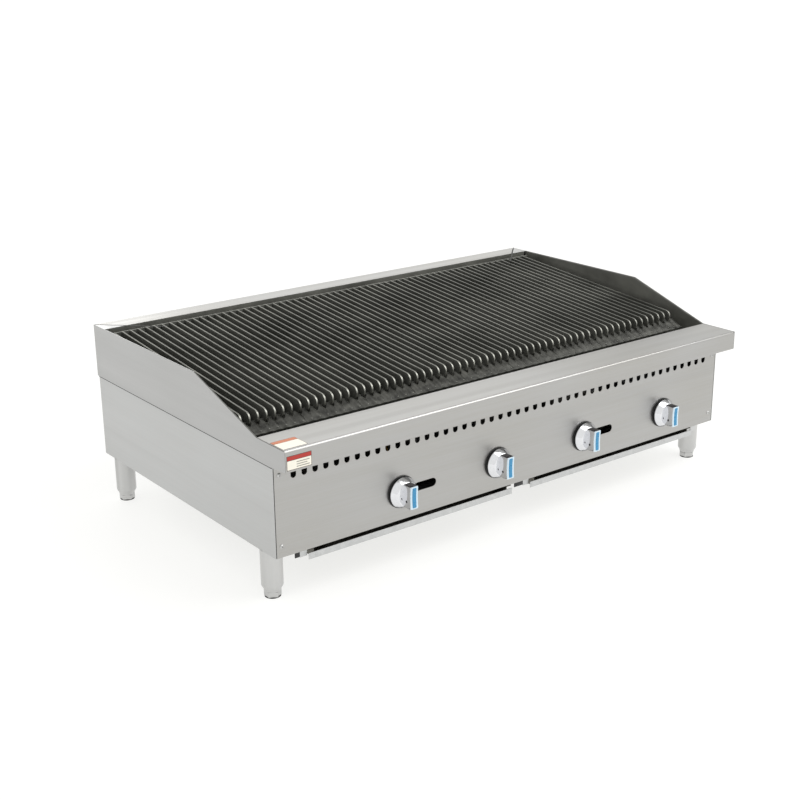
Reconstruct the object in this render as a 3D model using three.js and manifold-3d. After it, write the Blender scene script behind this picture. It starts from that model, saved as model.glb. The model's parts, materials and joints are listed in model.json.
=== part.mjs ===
// Gas radiant charbroiler for a restaurant counter, 48 inches wide, with four burners.
// Millimetres. +X is the right-hand end, +Y is the back, +Z is up.
// The origin is on the surface the feet stand on, at the centre of the overall plan.

import * as THREE from 'three';
import { mergeVertices } from 'three/addons/utils/BufferGeometryUtils.js';
import Module from 'manifold-3d';

const wasm = await Module();
wasm.setup();

// ---------------------------------------------------------------- driving sizes

// Overall
const WIDTH = 1219.2;            // over the two side splashes
const DEPTH = 751.2;             // front of the ledge to the back panel
const LEG_HEIGHT = 99;           // counter to the underside of the body
const BODY_HEIGHT = 181.2;       // lower side and back panels
const LEDGE_FACE = 40.4;         // height of the ledge's front face
const SPLASH_RISE = 70.6;        // splash tops above the ledge

// Sheet metal
const SHEET = 1.5;               // body and liner sheet
const SPLASH_SHEET = 2;          // side splashes
const TOUCH_GAP = 0.3;           // between pieces that touch
const SIDE_INSET = 3.4;          // the lower body stands in from the side splashes
const SEAM = 0.8;                // open seam between the lower body and the splashes
const MITRE_GAP = 0.8;           // at the corners of the rear splash's flat top

// Ledge, splashes and liners
const LEDGE_OVERHANG = 47;       // ledge in front of the front panel
const LEDGE_DEPTH = 92;          // front to back over the flat top
const LEDGE_OVER_SEAM = 4;       // foot of the ledge's face above the seam
const LEDGE_BEND = 5;            // outside radius of the front bend
const LEDGE_RETURN = 24;         // lip folded back under the ledge
const KNEE_FROM_PANEL = 264.3;   // front panel to the knee of the side splash
const REAR_FLANGE = 50;          // flat top of the rear splash
const LINER_DROP = 1.2;          // liners stop this far below the splash edges
const LINER_OVER_BASE = 81;      // foot of the side liners above the body's underside
const LINER_OVER_SEAM = 4;       // step in a side liner, above the seam

// Front panel
const VENT_PITCH = 23.9;
const VENT_MARGIN = 48.9;        // end of the body to the first vent
const VENT_RADIUS = 6;
const VENT_HEAD = 6;             // straight part of a vent above its round bottom
const VENT_DROP = 24.7;          // top of the body to the centre of a vent's round bottom
const SLOT_LENGTH = 56;          // pilot lighting slots
const SLOT_HEIGHT = 18;
const SLOT_FROM_KNOB = 59;       // knob axis to the slot's centre
const STEM_HOLE_RADIUS = 7;
const PANEL_RETURN = 12;         // flange folded back at the foot of the panel

// Burners
const BURNERS = 4;
const BURNERS_FROM_SIDE = 112.8; // overall side to the first burner's share of the width
const BURNER_OVER_BASE = 116;    // axis of a burner's level run above the body's underside
const BURNER_RADIUS = 19;
const BURNER_FRONT_SPACE = 52;   // baffle to the closed front end of a burner
const BURNER_END_SPACE = 26;     // from the burner's rear bend to the rear liner
const RISE_FROM_BELL = 24;       // where the burner starts to rise behind its bell
const RISE_LENGTH = 94;
const RUN_OVERLAP = 2;           // straight runs reach this far into the bends
const BEND_SKIN = 0.5;           // bends are drawn this much thinner, inside the runs
const BELL_RADIUS = 24;
const BELL_LENGTH = 26;
const BELL_FLARE = 14;
const BELL_DEPTH = 16;           // open mouth of a bell
const BELL_RIM = 4;
const BELL_WALL = 6;
const BELL_OVER_HOOD = 8;        // valve hood inside the mouth of a bell

// Gas pipe, valves and knobs
const KNOB_OVER_BASE = 59;       // knob axis above the body's underside
const KNOB_SHIFT = 57.4;         // knob axis to the right of its burner's centre
const MANIFOLD_RADIUS = 13.4;    // three-quarter-inch pipe
const MANIFOLD_BEND = 36;        // bend radius of the supply pipe
const MANIFOLD_FROM_PANEL = 48;
const MANIFOLD_BELOW_KNOBS = 34;
const MANIFOLD_END_SPACE = 30;   // closed left-hand end to the side panel
const SUPPLY_FROM_SIDE = 46;     // supply pipe to the lower body's side
const INLET_BORE = 9.5;
const INLET_LENGTH = 44;         // nipple at the end of the supply pipe
const INLET_FROM_BACK = 2;
const INLET_CLEARANCE = 5;       // round the supply pipe where it passes the back
const INLET_HOLE_DEPTH = 20;
const VALVE_RADIUS = 13;
const VALVE_LENGTH = 36;
const VALVE_NECK_RADIUS = 7;
const HOOD_RADIUS = 6;
const HOOD_LENGTH = 18;
const STEM_RADIUS = 4;
const STEM_IN_VALVE = 20;
const RUNNING_GAP = 0.35;        // round a stem, a stud or a seat
const BEZEL_SPACE = 6;           // panel to the back of the knob
const KNOB_RADIUS = 32;
const KNOB_RIM = 3;
const KNOB_FACE_RADIUS = 23;
const KNOB_FACE = 13.4;          // back of the knob to its face
const GRIP_LENGTH = 47;
const GRIP_WIDTH = 18;
const GRIP_TOP = 36.5;           // back of the knob to the front of its grip
const INSERT_LENGTH = 40;
const INSERT_WIDTH = 8.4;
const INSERT_DEPTH = 1.4;

// Pilots
const PILOT_RADIUS = 3;
const PILOT_HOOD_RADIUS = 6;
const PILOT_HEAD = 20;           // height of a pilot's head
const PILOT_FITTING = 14;        // height of its fitting on the manifold
const PILOT_OVER_BURNER = 11;
const PILOT_FROM_PANEL = 128;
const PILOT_SWEEP = 50;          // how far a pilot tube runs on upright before it leans

// Grates
const GRATES = 9;
const GRATE_END_SPACE = 14.5;    // play left at the right-hand end of the row
const GRATE_SIDE_SPACE = 2;      // between the left liner and the first grate
const GRATE_GAP = 1.6;           // between two grates
const BAR_PITCH = 18.7;
const BAR_THICKNESS = 4;
const BAR_HEIGHT = 27;
const NOSE_FOOT = 9;             // a bar's foot is tucked back this far
const NOSE_SHOULDER = 12;        // length of the rounded shoulder
const NOSE_FROM_LEDGE = 70;      // ledge's rear edge to the noses of the bars
const NOSE_TOP_OVER_LEDGE = 21;  // bar tops above the ledge at the front
const GRATE_REAR_SPACE = 24;     // bar ends to the rear liner
const GRATE_REAR_DROP = 3;       // bar tops below the splash at the back
const RIB_THICKNESS = 6;
const RIB_HEIGHT = 9;
const RIB_PLACES = [0.34, 0.67]; // shares of the bars' length
const FRONT_RIB = 10;            // nose to the front rib
const END_BAR_THICKNESS = 4;
const END_BAR_FOOT = 2;
const FLUSH = 0.5;               // ribs and end bars stop this far inside the bars' outline
const APRON_BACK = 12;           // rear edge of the drip apron behind the noses
const APRON_LENGTH = 30;         // apron in front of the noses
const APRON_FALL = 10;           // its front lip below its rear edge
const APRON_THICKNESS = 4.5;

// Baffle and radiants
const BAFFLE_FROM_NOSE = 14;     // noses of the bars to the baffle's upright
const BAFFLE_DROP = 3;           // top of the baffle below the ledge
const TROUGH_DEPTH = 30;         // bottom of the grease trough below the ledge
const BAFFLE_FOOT = 6;           // upright below the radiants' rest
const RADIANT_SHEET = 3;
const RADIANT_GAP = 26.4;        // between two radiants
const RADIANT_VALLEY = 12;
const RADIANT_RISE = 34;
const RADIANT_OVER_BURNER = 25;  // radiants' rest above the burners' axis
const RADIANT_END_SPACE = 4;
const REST_WIDTH = 22;
const REST_OVERLAP = 10;         // how far a piece lies on its rest

// Drip trays and base
const FRAME_SHEET = 2;
const FRAME_FLANGE = 60;
const FRAME_WEB = 30;
const TRAY_DROP = 20.5;          // body's underside to the tray's
const TRAY_CLEARANCE = 2;        // body's underside to the tray's rim
const LIP_DROP = 7.5;            // body's underside to the top of the tray's lip
const LIP_PROUD = 1.6;           // tray lip in front of the front panel
const TRAY_SPACE = 51.8;         // between the two trays
const TRAY_FROM_SIDE = 74.7;     // overall side to the outer end of a tray
const TRAY_FLANGE = 12;
const TRAY_REAR_SPACE = 14;
const TRAY_SIDE_PLAY = 1;
const RAIL_TAB = 16;             // tab folded across the front end of a rail
const RAIL_TAB_DROP = 13;
const RAIL_SET_BACK = 3;         // tabs behind the front panel's face

// Legs and feet
const LEG_FROM_SIDE = 24.3;      // overall side to a leg's axis
const FRONT_LEG_FROM_PANEL = 50.6;
const REAR_LEG_FROM_BACK = 48;
const LEG_RADIUS = 21.5;
const LEG_NECK_RADIUS = 16.9;
const LEG_TAPER = 11;
const LEG_CAP = 28.3;            // solid top of a leg above the foot's stud
const LEG_STUD_RADIUS = 6;
const LEG_STUD = 14;             // stud above the leg, through the base frame
const FOOT_VISIBLE = 12.4;       // hexagon of a foot below its leg
const FOOT_ACROSS_CORNERS = 34.4;
const FOOT_CHAMFER = 2.4;
const FOOT_STUD_RADIUS = 8;

const ROUND_STEPS = 16;          // sides of a small round piece
const PAST = 1;                  // cuts and joins run on this far

// ---------------------------------------------------------------- derived places

const SIDE = WIDTH / 2;
const BACK = DEPTH / 2;
const LEDGE_FRONT = -BACK;
const PANEL = LEDGE_FRONT + LEDGE_OVERHANG;
const LEDGE_REAR = LEDGE_FRONT + LEDGE_DEPTH;
const KNEE = PANEL + KNEE_FROM_PANEL;
const BODY_SIDE = SIDE - SIDE_INSET;
const BODY_INNER = BODY_SIDE - SHEET;
const SPLASH_INNER = SIDE - SPLASH_SHEET;

const BODY_TOP = LEG_HEIGHT + BODY_HEIGHT;
const SPLASH_BOTTOM = BODY_TOP + SEAM;
const LEDGE_BOTTOM = SPLASH_BOTTOM + LEDGE_OVER_SEAM;
const LEDGE_TOP = LEDGE_BOTTOM + LEDGE_FACE;
const SPLASH_TOP = LEDGE_TOP + SPLASH_RISE;
const VENT_CENTRE = BODY_TOP - VENT_DROP;
const KNOB_HEIGHT = LEG_HEIGHT + KNOB_OVER_BASE;
const BURNER_HEIGHT = LEG_HEIGHT + BURNER_OVER_BASE;
const PILOT_TOP = BURNER_HEIGHT + PILOT_OVER_BURNER;
const RADIANT_REST = BURNER_HEIGHT + RADIANT_OVER_BURNER;

const LINER_UPPER = SPLASH_INNER - TOUCH_GAP;       // outer face of a side liner, above the seam
const LINER_LOWER = BODY_INNER - TOUCH_GAP;         // outer face of a side liner, below the seam
const LINER_INNER = LINER_LOWER - SHEET;
const LINER_BOTTOM = LEG_HEIGHT + LINER_OVER_BASE;
const LINER_STEP = SPLASH_BOTTOM + LINER_OVER_SEAM;
const REAR_LINER = BACK - REAR_FLANGE;              // front face of the rear liner
const CROSS_HALF = LINER_INNER - TOUCH_GAP;         // half length of pieces between the side liners

const BAR_FRONT = LEDGE_REAR + NOSE_FROM_LEDGE;
const BAR_REAR = REAR_LINER - GRATE_REAR_SPACE;
const BAR_TOP_FRONT = LEDGE_TOP + NOSE_TOP_OVER_LEDGE;
const BAR_TOP_REAR = SPLASH_TOP - GRATE_REAR_DROP;
const BAR_SLOPE = Math.atan2(BAR_TOP_REAR - BAR_TOP_FRONT, BAR_REAR - BAR_FRONT);
const BAR_LENGTH = (BAR_REAR - BAR_FRONT) / Math.cos(BAR_SLOPE);

const GRATE_ROW_LEFT = -LINER_INNER + GRATE_SIDE_SPACE;
const GRATE_ROW = 2 * LINER_INNER - GRATE_SIDE_SPACE - GRATE_END_SPACE;
const GRATE_PITCH = GRATE_ROW / GRATES;
const GRATE_ROOM = GRATE_PITCH - GRATE_GAP - BAR_THICKNESS;
const BARS_PER_GRATE = Math.floor(GRATE_ROOM / BAR_PITCH) + 1;

const BAFFLE_UPRIGHT = BAR_FRONT + BAFFLE_FROM_NOSE;
const FRAME_BOTTOM = LEG_HEIGHT + TOUCH_GAP;
const FRAME_TOP = FRAME_BOTTOM + FRAME_SHEET;
const FRAME_SIDE = BODY_INNER - TOUCH_GAP;
const FRAME_FRONT = PANEL + PANEL_RETURN + 2 * TOUCH_GAP;
const FRAME_BACK = BACK - SHEET - TOUCH_GAP;

const BURNER_PITCH = (WIDTH - 2 * BURNERS_FROM_SIDE) / BURNERS;
const MANIFOLD_Y = PANEL + MANIFOLD_FROM_PANEL;
const MANIFOLD_Z = KNOB_HEIGHT - MANIFOLD_BELOW_KNOBS;
const MANIFOLD_TOP = MANIFOLD_Z + MANIFOLD_RADIUS + TOUCH_GAP;
const SUPPLY_X = BODY_SIDE - SUPPLY_FROM_SIDE;
const VALVE_FRONT = MANIFOLD_Y - VALVE_LENGTH / 2;
const HOOD_FRONT = MANIFOLD_Y + VALVE_LENGTH / 2;
const BELL_FRONT = HOOD_FRONT + HOOD_LENGTH - BELL_OVER_HOOD;

// x of burner i's centre, counted from the left
function burnerX(i) {
  return (i - (BURNERS - 1) / 2) * BURNER_PITCH;
}

function knobX(i) {
  return burnerX(i) + KNOB_SHIFT;
}

// height of the underside of the bars at a place along Y
function barBottom(y) {
  const alongTop = BAR_TOP_FRONT + (y - BAR_FRONT) * Math.tan(BAR_SLOPE);
  return alongTop - BAR_HEIGHT / Math.cos(BAR_SLOPE);
}

// ---------------------------------------------------------------- shape helpers

function solid(geometry) {
  const bare = geometry.index ? geometry.toNonIndexed() : geometry.clone();
  bare.deleteAttribute('normal');
  bare.deleteAttribute('uv');
  const merged = mergeVertices(bare, 1e-4);
  const mesh = new wasm.Mesh({
    numProp: 3,
    vertProperties: new Float32Array(merged.attributes.position.array),
    triVerts: new Uint32Array(merged.index.array),
  });
  return new wasm.Manifold(mesh);
}

function geometryOf(body) {
  const mesh = body.getMesh();
  const geometry = new THREE.BufferGeometry();
  geometry.setAttribute('position', new THREE.BufferAttribute(mesh.vertProperties, 3));
  geometry.setIndex(new THREE.BufferAttribute(mesh.triVerts, 1));
  geometry.computeVertexNormals();
  return geometry;
}

function joined(bodies) {
  return bodies.reduce((all, next) => all.add(next));
}

// a block between two corners
function block(low, high) {
  const size = high.map((value, axis) => value - low[axis]);
  const geometry = new THREE.BoxGeometry(...size);
  geometry.translate(...low.map((value, axis) => value + size[axis] / 2));
  return solid(geometry);
}

function outline(points) {
  return new THREE.Shape(points.map(([a, b]) => new THREE.Vector2(a, b)));
}

function extruded(shape, length, steps = 6) {
  return new THREE.ExtrudeGeometry(shape, { depth: length, bevelEnabled: false, curveSegments: steps });
}

const X = new THREE.Vector3(1, 0, 0);
const Y = new THREE.Vector3(0, 1, 0);
const Z = new THREE.Vector3(0, 0, 1);

// a shape drawn in (y, z) and run along X
function alongX(shape, from, to, steps) {
  const geometry = extruded(shape, to - from, steps);
  geometry.applyMatrix4(new THREE.Matrix4().makeBasis(Y, Z, X));
  geometry.translate(from, 0, 0);
  return solid(geometry);
}

// a shape drawn in (x, z) and run along Y
function alongY(shape, from, to, steps) {
  const geometry = extruded(shape, to - from, steps);
  geometry.applyMatrix4(new THREE.Matrix4().makeBasis(X, Z, Y.clone().negate()));
  geometry.translate(0, to, 0);
  return solid(geometry);
}

// a shape drawn in (x, y) and run along Z
function alongZ(shape, from, to, steps) {
  const geometry = extruded(shape, to - from, steps);
  geometry.translate(0, 0, from);
  return solid(geometry);
}

// a round piece about the Z axis, from points of (radius, height)
function turned(points, steps = ROUND_STEPS) {
  return new THREE.LatheGeometry(points.map(([r, h]) => new THREE.Vector2(r, h)), steps);
}

// LatheGeometry turns about Y: stand its axis up along Z
function turnedZ(points, at, steps) {
  const geometry = turned(points, steps);
  geometry.rotateX(Math.PI / 2);
  geometry.translate(...at);
  return solid(geometry);
}

// the same with the height pointing to the front, along -Y
function turnedFront(points, at, steps) {
  const geometry = turned(points, steps);
  geometry.rotateX(Math.PI);
  geometry.translate(...at);
  return solid(geometry);
}

function rodZ(radius, [x, y], from, to, steps) {
  return turnedZ([[0, from], [radius, from], [radius, to], [0, to]], [x, y, 0], steps);
}

function rodY(radius, [x, z], from, to, steps) {
  return turnedFront([[0, -to], [radius, -to], [radius, -from], [0, -from]], [x, 0, z], steps);
}

// a round bar along a curve
function bent(curve, radius, lengthSteps, sides = 12) {
  const circle = new THREE.Shape();
  circle.absarc(0, 0, radius, 0, Math.PI * 2);
  const geometry = new THREE.ExtrudeGeometry(circle, {
    steps: lengthSteps,
    curveSegments: sides / 2,
    extrudePath: curve,
    bevelEnabled: false,
  });
  return solid(geometry);
}

// ---------------------------------------------------------------- scene graph

const FINISHES = {
  brushedSteel: { color: 0xbdbdba, roughness: 0.38, metalness: 1 },
  innerSteel: { color: 0x4c4c48, roughness: 0.5, metalness: 0.9 },
  castIron: { color: 0x3c3c38, roughness: 0.7, metalness: 0.6 },
  galvanised: { color: 0x9a9c9c, roughness: 0.5, metalness: 0.9 },
  brass: { color: 0xb08d4a, roughness: 0.35, metalness: 1 },
  blackPipe: { color: 0x2f3032, roughness: 0.55, metalness: 0.7 },
  chrome: { color: 0xd6d8da, roughness: 0.12, metalness: 1 },
  bluePlastic: { color: 0x3f8fb8, roughness: 0.35, metalness: 0 },
};

const grill = new THREE.Group();

function addNode(name, body, finish) {
  const mesh = new THREE.Mesh(geometryOf(body), new THREE.MeshStandardMaterial(FINISHES[finish]));
  mesh.name = name;
  grill.add(mesh);
  return mesh;
}

// left and right copies of one piece: build draws the right-hand one
function addPair(name, build, finish) {
  const right = build();
  addNode(`right_${name}`, right, finish);
  addNode(`left_${name}`, right.mirror([1, 0, 0]), finish);
}

// ---------------------------------------------------------------- body panels

function sidePanel() {
  return block([BODY_INNER, PANEL, LEG_HEIGHT], [BODY_SIDE, BACK, BODY_TOP]);
}
addPair('side_panel', sidePanel, 'brushedSteel');

// The way through the back for the end of the supply pipe.
function inletHole() {
  const radius = MANIFOLD_RADIUS + INLET_CLEARANCE;
  return rodY(radius, [SUPPLY_X, MANIFOLD_Z], BACK - INLET_HOLE_DEPTH, BACK + PAST, 24);
}

function backPanel() {
  const low = [-BODY_INNER + TOUCH_GAP, BACK - SHEET, LEG_HEIGHT];
  const high = [BODY_INNER - TOUCH_GAP, BACK, BODY_TOP];
  return block(low, high).subtract(inletHole());
}
addNode('back_panel', backPanel(), 'brushedSteel');

function ventShape(x) {
  const shape = new THREE.Shape();
  shape.moveTo(x - VENT_RADIUS, VENT_CENTRE + VENT_HEAD);
  shape.lineTo(x - VENT_RADIUS, VENT_CENTRE);
  shape.absarc(x, VENT_CENTRE, VENT_RADIUS, Math.PI, 2 * Math.PI, false);
  shape.lineTo(x + VENT_RADIUS, VENT_CENTRE + VENT_HEAD);
  shape.closePath();
  return shape;
}

function slotShape(x) {
  const end = SLOT_HEIGHT / 2;
  const half = SLOT_LENGTH / 2 - end;
  const shape = new THREE.Shape();
  shape.absarc(x + half, KNOB_HEIGHT, end, -Math.PI / 2, Math.PI / 2, false);
  shape.absarc(x - half, KNOB_HEIGHT, end, Math.PI / 2, (3 * Math.PI) / 2, false);
  return shape;
}

function frontPanel() {
  const half = BODY_INNER - TOUCH_GAP;
  const shape = outline([[-half, LEG_HEIGHT], [half, LEG_HEIGHT], [half, LEDGE_BOTTOM - TOUCH_GAP],
    [-half, LEDGE_BOTTOM - TOUCH_GAP]]);
  const run = WIDTH - 2 * VENT_MARGIN;
  const vents = Math.floor(run / VENT_PITCH + 0.5) + 1;
  const firstVent = (-(vents - 1) * VENT_PITCH) / 2;
  for (let i = 0; i < vents; i += 1) {
    shape.holes.push(ventShape(firstVent + i * VENT_PITCH));
  }
  for (let i = 0; i < BURNERS; i += 1) {
    const hole = new THREE.Path();
    hole.absarc(knobX(i), KNOB_HEIGHT, STEM_HOLE_RADIUS, 0, Math.PI * 2, true);
    shape.holes.push(hole);
  }
  for (let i = 0; i < BURNERS; i += 2) {
    shape.holes.push(slotShape(knobX(i) + SLOT_FROM_KNOB));
  }
  const face = alongY(shape, PANEL, PANEL + SHEET, 3);
  const foot = block([-half, PANEL, LEG_HEIGHT], [half, PANEL + PANEL_RETURN, LEG_HEIGHT + SHEET]);
  return face.add(foot);
}
addNode('front_panel', frontPanel(), 'brushedSteel');

// ---------------------------------------------------------------- splashes and ledge

const splashOutline = [
  [BACK, SPLASH_BOTTOM], [BACK, SPLASH_TOP], [KNEE, SPLASH_TOP], [LEDGE_REAR, LEDGE_TOP],
  [LEDGE_FRONT, LEDGE_TOP], [LEDGE_FRONT, LEDGE_BOTTOM], [PANEL, SPLASH_BOTTOM],
];

// The rear splash's flat top is mitred into a small tab on each side splash.
addPair('splash', () => {
  const plate = alongX(outline(splashOutline), SPLASH_INNER, SIDE);
  const root = SPLASH_INNER + SHEET / 2;
  const tip = SPLASH_INNER - REAR_FLANGE;
  const tab = outline([[root, BACK], [SPLASH_INNER, BACK], [tip, REAR_LINER], [root, REAR_LINER]]);
  return plate.add(alongZ(tab, SPLASH_TOP - SHEET, SPLASH_TOP));
}, 'brushedSteel');

function rearSplash() {
  const long = SPLASH_INNER - MITRE_GAP;
  const short = long - REAR_FLANGE;
  const top = outline([[-long, BACK], [-short, REAR_LINER], [short, REAR_LINER], [long, BACK]]);
  const webHalf = long - SHEET;
  const web = block([-webHalf, BACK - SHEET, SPLASH_BOTTOM], [webHalf, BACK, SPLASH_TOP]);
  return alongZ(top, SPLASH_TOP - SHEET, SPLASH_TOP).add(web);
}
addNode('rear_splash', rearSplash(), 'brushedSteel');

// Top, rounded front bend, front face and the lip folded back under it.
function ledgeProfile() {
  const inside = LEDGE_BEND - SHEET;
  const shape = new THREE.Shape();
  shape.moveTo(LEDGE_REAR, LEDGE_TOP);
  shape.lineTo(LEDGE_FRONT + LEDGE_BEND, LEDGE_TOP);
  shape.absarc(LEDGE_FRONT + LEDGE_BEND, LEDGE_TOP - LEDGE_BEND, LEDGE_BEND, Math.PI / 2, Math.PI, false);
  shape.lineTo(LEDGE_FRONT, LEDGE_BOTTOM);
  shape.lineTo(LEDGE_FRONT + LEDGE_RETURN, LEDGE_BOTTOM);
  shape.lineTo(LEDGE_FRONT + LEDGE_RETURN, LEDGE_BOTTOM + SHEET);
  shape.lineTo(LEDGE_FRONT + SHEET, LEDGE_BOTTOM + SHEET);
  shape.lineTo(LEDGE_FRONT + SHEET, LEDGE_TOP - LEDGE_BEND);
  shape.absarc(LEDGE_FRONT + LEDGE_BEND, LEDGE_TOP - LEDGE_BEND, inside, Math.PI, Math.PI / 2, true);
  shape.lineTo(LEDGE_REAR - SHEET, LEDGE_TOP - SHEET);
  shape.lineTo(LEDGE_REAR - SHEET, LEDGE_TOP - LEDGE_RETURN);
  shape.lineTo(LEDGE_REAR, LEDGE_TOP - LEDGE_RETURN);
  return shape;
}
const LEDGE_HALF = SPLASH_INNER - TOUCH_GAP;
addNode('front_ledge', alongX(ledgeProfile(), -LEDGE_HALF, LEDGE_HALF, 6), 'brushedSteel');

// ---------------------------------------------------------------- firebox liners

addPair('liner', () => {
  const front = LEDGE_REAR + 2 * TOUCH_GAP;
  const rear = REAR_LINER - TOUCH_GAP;
  const knee = KNEE + LINER_DROP;
  const top = SPLASH_TOP - SHEET - TOUCH_GAP;
  const frontTop = LEDGE_TOP - LINER_DROP;
  const upper = outline([[front, LINER_STEP - SHEET], [rear, LINER_STEP - SHEET], [rear, top],
    [knee, top], [front, frontTop]]);
  return joined([
    alongX(upper, LINER_UPPER - SHEET, LINER_UPPER),
    block([LINER_INNER, front, LINER_STEP - SHEET], [LINER_UPPER, rear, LINER_STEP]),
    block([LINER_INNER, front, LINER_BOTTOM], [LINER_LOWER, rear, LINER_STEP]),
  ]);
}, 'innerSteel');

// A shelf folded out of the rear liner towards the front.
function rearShelf(top, depth) {
  return block([-CROSS_HALF, REAR_LINER - depth, top - FRAME_SHEET], [CROSS_HALF, REAR_LINER + SHEET, top]);
}

function rearLiner() {
  const burnerRest = BURNER_HEIGHT - BURNER_RADIUS - TOUCH_GAP;
  const bottom = burnerRest - FRAME_SHEET;
  const top = SPLASH_TOP - SHEET - TOUCH_GAP;
  const grateShelf = GRATE_REAR_SPACE + REST_OVERLAP;
  const grateRest = barBottom(REAR_LINER - grateShelf) - TOUCH_GAP;
  return joined([
    block([-CROSS_HALF, REAR_LINER, bottom], [CROSS_HALF, REAR_LINER + SHEET, top]),
    rearShelf(burnerRest, BURNER_END_SPACE + 2 * BURNER_RADIUS),
    rearShelf(RADIANT_REST, REST_WIDTH),
    rearShelf(grateRest, grateShelf),
  ]);
}
addNode('rear_liner', rearLiner(), 'innerSteel');

// The baffle drops behind the ledge into a grease trough and rises again to carry the bars.
const TROUGH_BOTTOM = LEDGE_TOP - TROUGH_DEPTH;
const GRATE_FRONT_REST = barBottom(BAFFLE_UPRIGHT) - TOUCH_GAP;

function frontBaffle() {
  const half = CROSS_HALF;
  const start = LEDGE_REAR + 3 * TOUCH_GAP;
  return joined([
    block([-half, start, TROUGH_BOTTOM - SHEET], [half, start + SHEET, LEDGE_TOP - BAFFLE_DROP]),
    block([-half, start, TROUGH_BOTTOM - SHEET], [half, BAFFLE_UPRIGHT + SHEET, TROUGH_BOTTOM]),
    block([-half, BAFFLE_UPRIGHT, RADIANT_REST - BAFFLE_FOOT],
      [half, BAFFLE_UPRIGHT + FRAME_SHEET, GRATE_FRONT_REST]),
    block([-half, BAFFLE_UPRIGHT, RADIANT_REST - FRAME_SHEET],
      [half, BAFFLE_UPRIGHT + REST_WIDTH, RADIANT_REST]),
  ]);
}
addNode('front_baffle', frontBaffle(), 'innerSteel');

// ---------------------------------------------------------------- grates

// A bar seen from its side: level top, rounded shoulder and nose, tucked-in foot.
function barProfile() {
  const h = BAR_HEIGHT;
  const shape = new THREE.Shape();
  shape.moveTo(NOSE_FOOT, 0);
  shape.quadraticCurveTo(NOSE_FOOT / 6, h * 0.12, 0, h * 0.42);
  shape.quadraticCurveTo(-1, h * 0.92, NOSE_SHOULDER, h);
  shape.lineTo(BAR_LENGTH, h);
  shape.lineTo(BAR_LENGTH, 0);
  return shape;
}

// The apron sheds grease from the feet of the bars into the trough.
function apronProfile() {
  const top = FLUSH + APRON_THICKNESS;
  return outline([[APRON_BACK, FLUSH], [APRON_BACK, top], [-APRON_LENGTH, top - APRON_FALL],
    [-APRON_LENGTH, FLUSH - APRON_FALL]]);
}

function grate(left) {
  const right = left + (BARS_PER_GRATE - 1) * BAR_PITCH + BAR_THICKNESS;
  const from = left + BAR_THICKNESS / 2;
  const to = right - BAR_THICKNESS / 2;
  const parts = [];
  for (let i = 0; i < BARS_PER_GRATE; i += 1) {
    const x = left + i * BAR_PITCH;
    parts.push(alongX(barProfile(), x, x + BAR_THICKNESS, 3));
  }
  for (const y of [FRONT_RIB, ...RIB_PLACES.map((share) => share * BAR_LENGTH)]) {
    parts.push(block([from, y, FLUSH], [to, y + RIB_THICKNESS, RIB_HEIGHT]));
  }
  parts.push(alongX(apronProfile(), left, left + GRATE_PITCH - GRATE_GAP));
  const rearBar = BAR_LENGTH - FLUSH - END_BAR_THICKNESS;
  parts.push(block([from, rearBar, END_BAR_FOOT], [to, BAR_LENGTH - FLUSH, BAR_HEIGHT - FLUSH]));
  const slope = (BAR_SLOPE * 180) / Math.PI;
  const foot = BAR_TOP_FRONT - BAR_HEIGHT / Math.cos(BAR_SLOPE);
  return joined(parts).rotate([slope, 0, 0]).translate([0, BAR_FRONT, foot]);
}

for (let i = 0; i < GRATES; i += 1) {
  addNode(`grate_${i + 1}`, grate(GRATE_ROW_LEFT + i * GRATE_PITCH), 'castIron');
}

// ---------------------------------------------------------------- radiants and burners

// A folded plate with one ridge over each leg of the burner below it.
function radiant(x) {
  const w = (BURNER_PITCH - RADIANT_GAP) / 2;
  const valley = RADIANT_VALLEY / 2;
  const foot = RADIANT_REST + TOUCH_GAP;
  const ridge = foot + RADIANT_RISE;
  const t = RADIANT_SHEET;
  const shape = outline([
    [-w, foot], [-w / 2, ridge - t], [-valley, foot + t], [valley, foot + t], [w / 2, ridge - t], [w, foot],
    [w, foot + t], [w / 2, ridge], [valley, foot + 2 * t], [-valley, foot + 2 * t], [-w / 2, ridge],
    [-w, foot + t],
  ]);
  const from = BAFFLE_UPRIGHT + FRAME_SHEET + RADIANT_END_SPACE;
  const to = REAR_LINER - RADIANT_END_SPACE;
  return alongY(shape, from, to).translate([x, 0, 0]);
}

// points on a quarter or half circle in the (x, y) plane
function arcPoints([x, y], radius, z, from, to, steps) {
  return Array.from({ length: steps + 1 }, (_, k) => {
    const a = from + (k / steps) * (to - from);
    return new THREE.Vector3(x + radius * Math.cos(a), y + radius * Math.sin(a), z);
  });
}

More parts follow.
